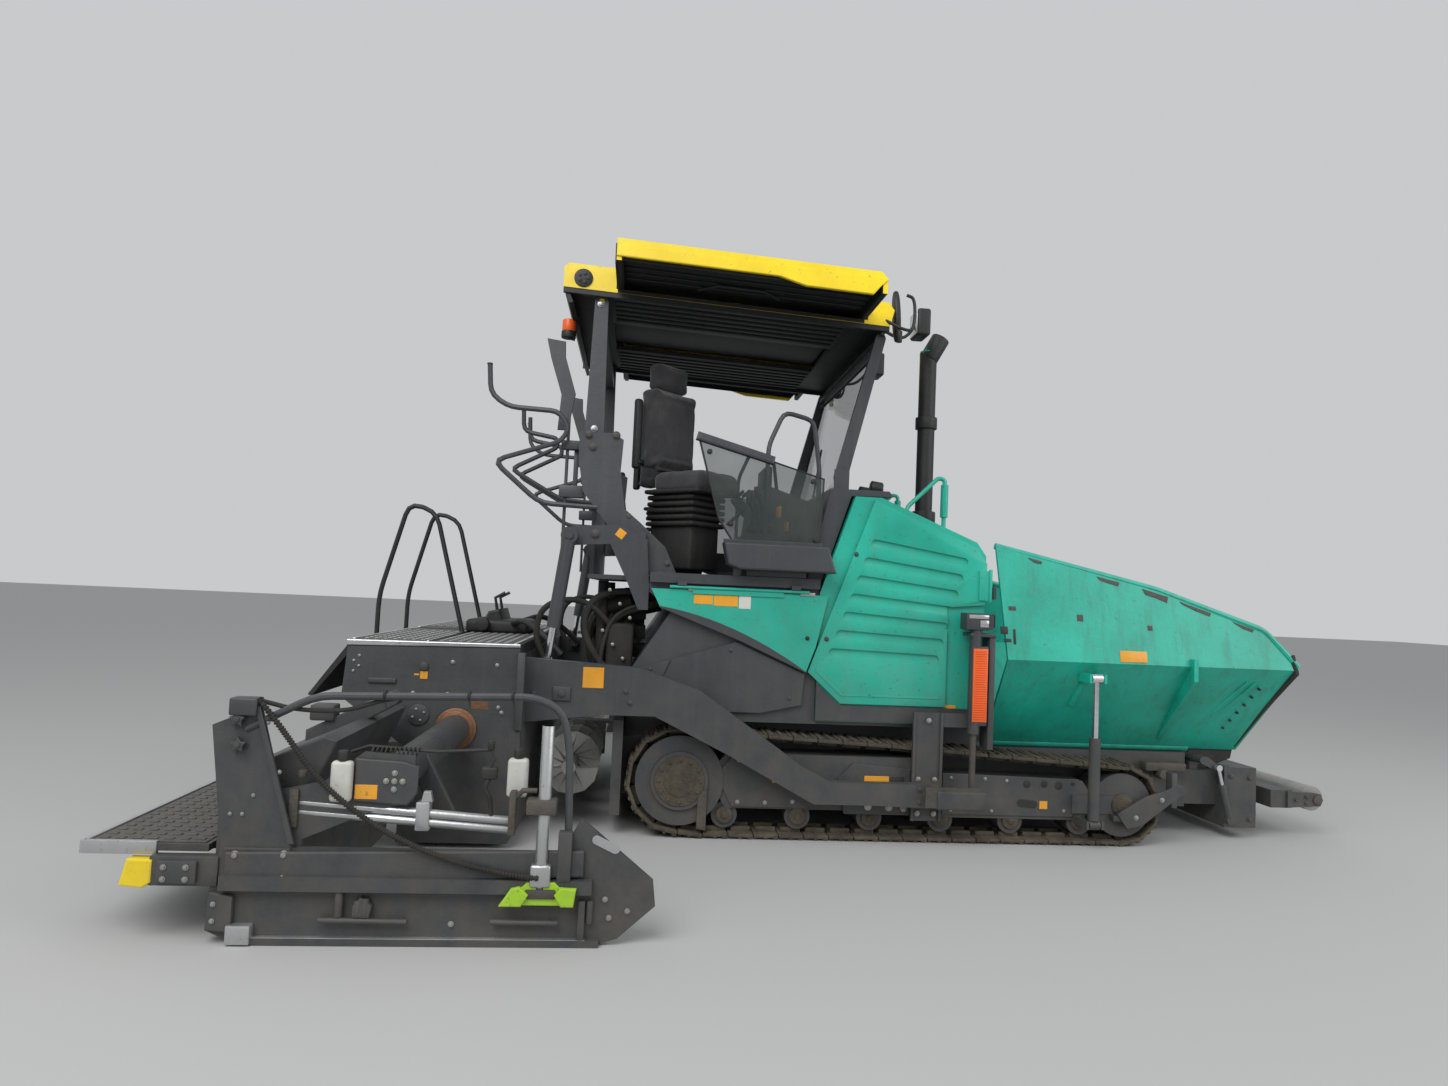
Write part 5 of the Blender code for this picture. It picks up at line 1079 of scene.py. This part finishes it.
# screed: treads, end plate fittings, hood and blank stickers
def screedDetail():
    treads = []
    edges = []
    for s in (-1, 1):
        treads.append(block(at(-1.66, s * 0.10, 1.199), at(-1.25, s * 1.45, 1.207), 0.003))
        treads.append(block(at(-1.20, s * 0.30, 1.199), at(-0.74, s * 1.45, 1.207), 0.003))
        for x0, x1 in ((-1.68, -1.66), (-1.25, -1.235), (-0.735, -0.715)):
            edges.append(block(at(x0, s * 0.10, 1.197), at(x1, s * 1.46, 1.212), 0.003))
        edges.append(plate([(-1.70, 1.168), (-0.69, 1.188), (-0.69, 1.210), (-1.70, 1.203)], s * 1.462,
                           s * 1.498, 0.005))
        for i in range(16):
            x = -1.63 + i * 0.055
            if -1.26 < x < -1.20:
                continue
            for j in range(12):
                y = s * (0.36 + j * 0.092)
                edges.append(block(at(x, y - 0.012, 1.206), at(x + 0.022, y + 0.012, 1.2105), 0.0015, 1))
    settle(joined(treads), 'screed_treads', 'tread', 'screed')
    settle(joined(edges), 'screed_tread_edges', 'aluminium', 'screed')
    hood = [block(at(-1.25, -0.28, 1.20), at(-0.80, 0.28, 1.30), 0.03, 4),
            plate([(-1.18, 1.20), (-1.10, 1.36), (-1.02, 1.38), (-0.96, 1.20)], -0.22, 0.22, 0.015),
            bar(at(-1.12, -0.35, 1.27), at(-1.12, -0.30, 1.27), 0.05, 28, 0.008),
            tube([at(-0.90, -0.30, 1.28), at(-0.80, -0.55, 1.32), at(-0.66, -0.70, 1.25),
                  at(-0.50, -0.78, 1.10)], 0.022, 3, True),
            tube([at(-0.90, 0.30, 1.28), at(-0.80, 0.55, 1.32), at(-0.66, 0.70, 1.25),
                  at(-0.50, 0.78, 1.10)], 0.022, 3, True)]
    for y in (-0.12, 0.12):
        hood.append(tube([at(-1.05, y, 1.36), at(-1.07, y, 1.46), at(-1.00, y, 1.50)], 0.012, 3))
    settle(joined(hood), 'screed_hood', 'black', 'screed')
    for side, s in sides:
        y = s * 1.50
        ringA = bar(at(-1.04, y + s * 0.004, 0.70), at(-1.04, y + s * 0.016, 0.70), 0.122, 48, 0.006)
        ringB = bar(at(-1.04, y + s * 0.010, 0.70), at(-1.04, y + s * 0.024, 0.70), 0.104, 48, 0.005)
        settle(joined([ringA, ringB]), 'screed_gland_' + side, 'copper', 'screed')
        cover = [bar(at(-1.26, y - s * 0.002, 0.775), at(-1.26, y + s * 0.010, 0.775), 0.062, 40, 0.004),
                 bar(at(-1.245, y - s * 0.002, 1.06), at(-1.245, y + s * 0.014, 1.06), 0.026, 28, 0.005),
                 block(at(-1.56, y - s * 0.002, 0.955), at(-1.40, y + s * 0.016, 0.985), 0.005),
                 block(at(-0.70, y - s * 0.03, 0.70), at(-0.655, y + s * 0.02, 1.16), 0.006)]
        settle(joined(cover), 'screed_covers_' + side, 'slate', 'screed')
        heads = [bolts([(-1.65, 1.08), (-1.62, 1.05), (-1.65, 1.02), (-1.62, 1.11)], y, s, 0.006),
                 bolts([(-1.08, 1.09), (-0.82, 1.08), (-0.80, 0.83), (-0.92, 0.90), (-1.10, 0.90),
                        (-0.78, 0.80), (-1.30, 0.90)], y, s, 0.009),
                 bolts([(-1.26 + 0.035 * math.cos(a), 0.775 + 0.035 * math.sin(a)) for a in (0.4, 1.97,
                     3.54, 5.11)],
                       y + s * 0.010, s, 0.006)]
        settle(joined(heads), 'screed_bolts_' + side, 'steel', 'screed')
        settle(joined([label(-1.265, 0.985, -1.222, 1.03, y, s),
                       label(-1.30, 1.005, -1.27, 1.015, y, s)]),
               'screed_label_' + side, 'amber', 'screed')
        settle(label(-0.96, 0.815, -0.86, 0.862, y, s), 'screed_plate_' + side, 'copper', 'screed')
        armFace = s * 1.315
        settle(label(-0.32, 0.945, -0.19, 1.073, armFace, s), 'arm_labels_' + side, 'amber', 'screed')
        parts = [bolts([(-0.62, 0.90), (-0.05, 0.93), (-0.02, 0.86), (1.86, 0.37), (1.86, 0.29)], armFace,
                       s, 0.012),
                 block(at(-0.50, armFace - s * 0.002, 0.86), at(-0.39, armFace + s * 0.014, 0.95), 0.006),
                 bar(at(-0.445, armFace, 0.905), at(-0.445, armFace + s * 0.022, 0.905), 0.022, 24,
                     0.004),
                 bar(at(1.93, armFace - s * 0.002, 0.33), at(1.93, armFace + s * 0.018, 0.33), 0.052, 36,
                     0.006)]
        settle(joined(parts), 'arm_bolts_' + side, 'slate', 'screed')
    walk = [block(at(-2.28, -1.45, 0.344), at(-1.81, 1.45, 0.351), 0.002)]
    settle(joined(walk), 'rear_walkway_tread', 'tread', 'screed')
    rim = [block(at(-2.30, -1.46, 0.30), at(-2.275, 1.46, 0.358), 0.004)]
    settle(joined(rim), 'rear_walkway_edge', 'aluminium', 'screed')


# a shaft with five points round it
def star(x, z, y, s, radius):
    outline = []
    for i in range(10):
        r = radius if i % 2 == 0 else radius * 0.55
        a = math.pi / 2 + i * math.pi / 5
        outline.append((x + r * math.cos(a), z + r * math.sin(a)))
    return [plate(outline, y + s * 0.006, y + s * 0.030, 0.005),
            bar(at(x, y - s * 0.002, z), at(x, y + s * 0.036, z), radius * 0.34, 20, 0.003)]


def endGate(side, s):
    body = 'extension_' + side
    face = s * 2.915
    out = []
    for x, z in ((-1.68, 0.943), (-1.67, 0.835)):
        out += star(x, z, face, s, 0.036)
    # upright's edge rib, block on top, gate seams and hinges
    out += [plate([(-1.615, 1.00), (-1.59, 1.00), (-1.415, 0.42), (-1.44, 0.42)], face, face + s * 0.02,
                  0.004),
            block(at(-1.715, s * 2.87, 0.96), at(-1.60, s * 2.95, 1.035), 0.008, 3),
            block(at(-1.70, face - s * 0.002, 0.385), at(-1.43, face + s * 0.012, 0.40), 0.003),
            plate([(-1.69, 0.245), (-0.18, 0.30), (-0.18, 0.415), (-1.69, 0.385)], face, face + s * 0.026,
                  0.008),
            plate([(-1.645, 0.05), (-1.645, 0.20), (-1.74, 0.22), (-1.75, 0.06)], face, face + s * 0.03,
                  0.006),
            block(at(-0.195, face - s * 0.002, 0.03), at(-0.165, face + s * 0.03, 0.20), 0.005),
            block(at(-0.295, face - s * 0.002, 0.285), at(-0.235, face + s * 0.05, 0.50), 0.006),
            bar(at(-0.145, face + s * 0.015, 0.10), at(-0.145, face + s * 0.015, 0.20), 0.014, 16, 0.003)]
    for x0, x1 in ((-1.29, -0.92), (-0.57, -0.28)):
        out.append(bar(at(x0, face + s * 0.03, 0.108), at(x1, face + s * 0.03, 0.104), 0.012, 16, 0.003))
        out.append(bar(at(x0 + 0.03, face, 0.106), at(x0 + 0.03, face + s * 0.03, 0.106), 0.008, 12))
        out.append(bar(at(x1 - 0.03, face, 0.106), at(x1 - 0.03, face + s * 0.03, 0.106), 0.008, 12))
    for x, top in ((-1.21, 0.25), (-1.13, 0.19), (-1.10, 0.20)):
        out.append(bar(at(x, face + s * 0.022, 0.12), at(x, face + s * 0.022, top), 0.017, 18, 0.004))
    out.append(plate([(-1.15, 0.12), (-1.08, 0.12), (-1.07, 0.17), (-1.12, 0.205), (-1.15, 0.17)], face,
                     face + s * 0.035, 0.004))
    settle(joined(out), 'gate_fittings_' + side, 'slate', body)
    heads = [bolts([(-1.65, 0.372), (-1.45, 0.376), (-1.65, 0.278), (-1.45, 0.281)], face + s * 0.018, s,
                   0.013),
             bolts([(-1.69, 0.54), (-1.64, 0.54), (-1.60, 0.62)], face, s, 0.006),
             bolts([(-1.72, 0.17), (-1.72, 0.10)], face + s * 0.03, s, 0.008),
             bolts([(-0.74, 0.087), (-0.72, 0.36), (-0.48, 0.37), (-1.00, 0.36), (-0.08, 0.20),
                    (-0.06, 0.12), (0.02, 0.15)], face, s, 0.009),
             bolts([(-1.56, 0.93), (-1.50, 0.72)], face, s, 0.007)]
    settle(joined(heads), 'gate_bolts_' + side, 'steel', body)
    sole = [block(at(-1.58, face - s * 0.002, 0.020), at(-0.16, face + s * 0.028, 0.032), 0.003),
            block(at(-1.66, face - s * 0.002, 0.006), at(-1.56, face + s * 0.045, 0.085), 0.005)]
    slotShape = plate(pill((-0.13, 0.458), (-0.045, 0.418), 0.020), face, face + s * 0.003, 0.001)
    settle(joined(sole + [slotShape]), 'gate_sole_edge_' + side, 'aluminium', body)
    # measuring pole with its clamp, lime ski and the double rail
    pole = [bar(at(-0.364, s * 2.945, 0.262), at(-0.364, s * 2.945, 0.958), 0.0275, 32, 0.003),
            block(at(-0.41, s * 2.90, 0.262), at(-0.32, s * 2.975, 0.36), 0.012, 3),
            bar(at(-1.43, s * 2.868, 0.585), at(-0.50, s * 2.868, 0.520), 0.019, 20, 0.002),
            bar(at(-1.43, s * 2.868, 0.545), at(-0.50, s * 2.868, 0.482), 0.019, 20, 0.002),
            block(at(-0.925, s * 2.84, 0.475), at(-0.865, s * 2.895, 0.60), 0.006),
            plate([(-0.905, 0.60), (-0.855, 0.60), (-0.865, 0.645), (-0.895, 0.645)], s * 2.86, s * 2.89,
                  0.003)]
    settle(joined(pole), 'gate_pole_' + side, 'aluminium', body)
    clamps = [block(at(-1.46, s * 2.845, 0.48), at(-1.42, s * 2.90, 0.645), 0.006),
              block(at(-0.44, s * 2.90, 0.575), at(-0.31, s * 2.985, 0.64), 0.008),
              block(at(-0.52, s * 2.87, 0.47), at(-0.49, s * 2.93, 0.66), 0.006),
              tube([at(-0.50, s * 2.91, 0.63), at(-0.46, s * 2.93, 0.67), at(-0.40, s * 2.93, 0.67)],
                   0.012, 3),
              bar(at(-1.42, s * 2.86, 0.69), at(-1.42, s * 2.86, 0.72), 0.02, 20, 0.004)]
    settle(joined(clamps), 'gate_clamps_' + side, 'iron', body)
    ski = [plate([(-0.535, 0.185), (-0.215, 0.185), (-0.205, 0.262), (-0.28, 0.265), (-0.30, 0.285),
                  (-0.42, 0.285),
                  (-0.44, 0.265), (-0.48, 0.262)], s * 2.945, s * 2.965, 0.006),
           plate([(-0.535, 0.185), (-0.44, 0.185), (-0.41, 0.235), (-0.45, 0.27), (-0.485, 0.262)],
                 s * 2.962, s * 2.985, 0.006),
           plate([(-0.30, 0.235), (-0.27, 0.185), (-0.215, 0.185), (-0.205, 0.262), (-0.27, 0.268)],
                 s * 2.962, s * 2.985, 0.006)]
    settle(joined(ski), 'gate_ski_' + side, 'lime', body)
    settle(block(at(-0.425, s * 2.96, 0.215), at(-0.295, s * 2.975, 0.255), 0.006),
           'gate_ski_pad_' + side, 'iron', body)
    # bottles, bracket with five bolts, sensor and its wires
    bottles = [block(at(-1.285, s * 2.887, 0.60), at(-1.195, s * 2.935, 0.775), 0.016, 4),
               block(at(-0.545, s * 2.80, 0.62), at(-0.455, s * 2.86, 0.79), 0.016, 4)]
    settle(joined(bottles), 'bottles_' + side, 'white', body)
    caps = [bar(at(x, s * y, z), at(x, s * y, z + 0.045), 0.022, 24, 0.006)
            for x, y, z in ((-1.24, 2.911, 0.775), (-0.50, 2.83, 0.79))]
    caps += [tube([at(-1.23, s * 2.83, 0.80), at(-1.15, s * 2.85, 0.83), at(-0.85, s * 2.86, 0.815),
                   at(-0.62, s * 2.86, 0.83)], 0.008, 3),
             block(at(-0.655, s * 2.84, 0.70), at(-0.585, s * 2.88, 0.755), 0.01, 3),
             tube([at(-0.62, s * 2.86, 0.84), at(-0.60, s * 2.87, 0.79), at(-0.62, s * 2.87, 0.75)],
                  0.007, 3),
             bar(at(-0.62, s * 2.86, 0.83), at(-0.62, s * 2.86, 0.87), 0.016, 18, 0.004),
             tube([at(-0.62, s * 2.87, 0.70), at(-0.64, s * 2.87, 0.66), at(-0.61, s * 2.87, 0.62),
                   at(-0.60, s * 2.87, 0.52)], 0.010, 3, True)]
    coil = []
    for i in range(60):
        t = i / 59
        coil.append(at(-1.13 + 0.20 * t, s * (2.86 + 0.018 * math.cos(i * 1.1)),
                       0.812 + 0.018 * math.sin(i * 1.1)))
    caps.append(tube(coil, 0.004, 2))
    settle(joined(caps), 'bottle_caps_' + side, 'black', body)
    bracket = [plate([(-1.19, 0.60), (-0.96, 0.585), (-0.92, 0.64), (-0.92, 0.755), (-0.99, 0.775),
                      (-1.19, 0.785)],
                     s * 2.8865, s * 2.902, 0.006)]
    settle(joined(bracket), 'tube_bracket_' + side, 'slate', body)
    five = [(-1.02, 0.69), (-1.055, 0.69), (-0.985, 0.69), (-1.02, 0.725), (-1.02, 0.655)]
    settle(bolts(five, s * 2.902, s, 0.009), 'bracket_bolts_' + side, 'steel', body)
    settle(label(-1.185, 0.61, -1.09, 0.672, s * 2.902, s), 'bracket_label_' + side, 'amber', body)
    # sloping covers over the extension's drive
    hood = [plate([(-1.60, 0.70), (-1.20, 0.93), (-1.18, 0.965), (-1.23, 1.00), (-1.64, 0.79),
                   (-1.64, 0.72)],
                  s * 2.14, s * 2.24, 0.008),
            plate([(-1.80, 0.56), (-1.42, 0.56), (-1.30, 0.84), (-1.36, 0.86), (-1.80, 0.66)], s * 1.62,
                  s * 2.80, 0.010),
            block(at(-1.62, s * 2.16, 0.84), at(-1.50, s * 2.26, 0.92), 0.01),
            block(at(-1.20, s * 2.00, 0.55), at(-1.14, s * 2.06, 0.66), 0.006),
            plate([(-0.90, 0.40), (-0.78, 0.40), (-0.96, 0.74), (-1.06, 0.74)], s * 2.52, s * 2.56,
                  0.006)]
    settle(joined(hood), 'extension_covers_' + side, 'slate', body)
    # walkway end: yellow box, arm, tread and silver rim
    end = [plate([(-2.115, 0.235), (-2.02, 0.225), (-1.985, 0.25), (-1.985, 0.345), (-2.09, 0.345)],
                 s * 2.865, s * 2.93, 0.008)]
    settle(joined(end), 'walkway_yellow_box_' + side, 'yellow', body)
    arm = [block(at(-2.00, s * 2.87, 0.235), at(-1.72, s * 2.925, 0.36), 0.006),
           block(at(-1.96, s * 2.925, 0.25), at(-1.80, s * 2.945, 0.345), 0.006)]
    settle(joined(arm), 'walkway_arm_' + side, 'slate', body)
    settle(bolts([(-1.93, 0.32), (-1.93, 0.27), (-1.84, 0.32), (-1.84, 0.27)], s * 2.945, s, 0.009),
           'walkway_bolts_' + side, 'steel', body)
    tread = [block(at(-2.27, s * 1.53, 0.3995), at(-1.80, s * 2.865, 0.405), 0.002)]
    for i in range(20):
        for j in range(7):
            tread.append(block(at(-2.25 + j * 0.066, s * (1.56 + i * 0.066), 0.404),
                               at(-2.215 + j * 0.066, s * (1.585 + i * 0.066), 0.409), 0.001, 1))
    settle(joined(tread), 'walkway_tread_' + side, 'tread', body)
    rim = [block(at(-2.302, s * 1.51, 0.355), at(-2.275, s * 2.888, 0.412), 0.004),
           block(at(-2.29, s * 2.870, 0.355), at(-1.99, s * 2.892, 0.412), 0.004)]
    settle(joined(rim), 'walkway_rim_' + side, 'aluminium', body)
    # corrugated cable from the upright's top to the foot of the pole, and the one along the guard
    route = roundPath([at(x, s * y, z) for x, y, z in (
        (-1.60, 2.93, 1.03), (-1.48, 2.95, 0.90), (-1.34, 2.965, 0.72), (-1.18, 2.97, 0.585), (-0.98,
            2.968, 0.46),
        (-0.74, 2.962, 0.365), (-0.52, 2.956, 0.315), (-0.37, 2.975, 0.305))], 2)
    cables = [tube(route, 0.010, 3)]
    cables.append(tube(roundPath([at(x, s * y, z) for x, y, z in (
        (-1.60, 2.90, 1.02), (-1.45, 2.90, 0.985), (-1.25, 2.90, 0.985), (-1.12, 2.90, 1.03), (-1.02,
            2.90, 1.055))], 2), 0.010, 3))
    for path in (route,):
        for a, b in zip(path, path[1:]):
            step = b - a
            pieces = max(1, int(step.length / 0.012))
            for k in range(pieces):
                centre = a + step * (k / pieces)
                half = step.normalized() * 0.003
                cables.append(bar(centre - half, centre + half, 0.0135, 10))
    for x in (-1.08, -0.72, -0.53):
        z = 1.0565 + (x + 1.37) * 0.0266
        cables.append(bar(at(x - 0.006, s * 2.91, z), at(x + 0.006, s * 2.91, z), 0.0215, 18, 0.002))
        cables.append(tube([at(x, s * 2.91, z - 0.02), at(x + 0.01, s * 2.92, z - 0.06)], 0.003, 2))
    settle(joined(cables), 'control_cable_' + side, 'rubber', body)


screedDetail()
for side, s in sides:
    endGate(side, s)
print('screed done')


def studio():
    v = {'far': 60.0, 'floor': (0.42, 0.42, 0.415), 'sky': 0.62}
    deselect()
    bpy.ops.mesh.primitive_plane_add(size=v['far'] * 2, location=(0, 0, -0.001))
    floor = bpy.context.object
    floor.name = 'floor'
    mat, _, shader = newMaterial('floor')
    shader.inputs['Base Color'].default_value = (*v['floor'], 1)
    shader.inputs['Roughness'].default_value = 0.9
    floor.data.materials.append(mat)
    world = bpy.data.worlds.new('studio')
    world.use_nodes = True
    world.node_tree.nodes['Background'].inputs['Color'].default_value = (0.93, 0.95, 0.97, 1)
    world.node_tree.nodes['Background'].inputs['Strength'].default_value = v['sky']
    bpy.context.scene.world = world
    for name, place, size, power in (('key', (-5.0, -8.5, 9.0), 7.0, 900.0),
                                     ('fill', (8.0, -6.0, 5.0), 7.0, 350.0)):
        data = bpy.data.lights.new(name, 'AREA')
        data.energy = power
        data.size = size
        lamp = bpy.data.objects.new(name, data)
        lamp.location = place
        lamp.rotation_euler = (Vector((0, 0, 1.2)) - Vector(place)).to_track_quat('-Z', 'Y').to_euler()
        bpy.context.collection.objects.link(lamp)


def mainCamera():
    v = {'place': (0.0, -6.95, 1.58), 'yaw': 5.33, 'pitch': 3.15, 'roll': 2.58, 'lens': 22.08}
    yaw, pitch, roll = (math.radians(v[key]) for key in ('yaw', 'pitch', 'roll'))
    ahead = Vector((math.sin(yaw) * math.cos(pitch), math.cos(yaw) * math.cos(pitch), math.sin(pitch)))
    level = Vector((math.cos(yaw), -math.sin(yaw), 0))
    upright = level.cross(ahead)
    right = level * math.cos(roll) + upright * math.sin(roll)
    up = upright * math.cos(roll) - level * math.sin(roll)
    data = bpy.data.cameras.new('camera')
    data.lens = v['lens']
    data.sensor_width = 36.0
    camera = bpy.data.objects.new('camera', data)
    turn = Matrix((right, up, -ahead)).transposed().to_4x4()
    camera.matrix_world = Matrix.Translation(at(*v['place'])) @ turn
    bpy.context.collection.objects.link(camera)
    bpy.context.scene.camera = camera


studio()
mainCamera()
bpy.context.scene.view_settings.view_transform = 'Standard'


print('scene done')
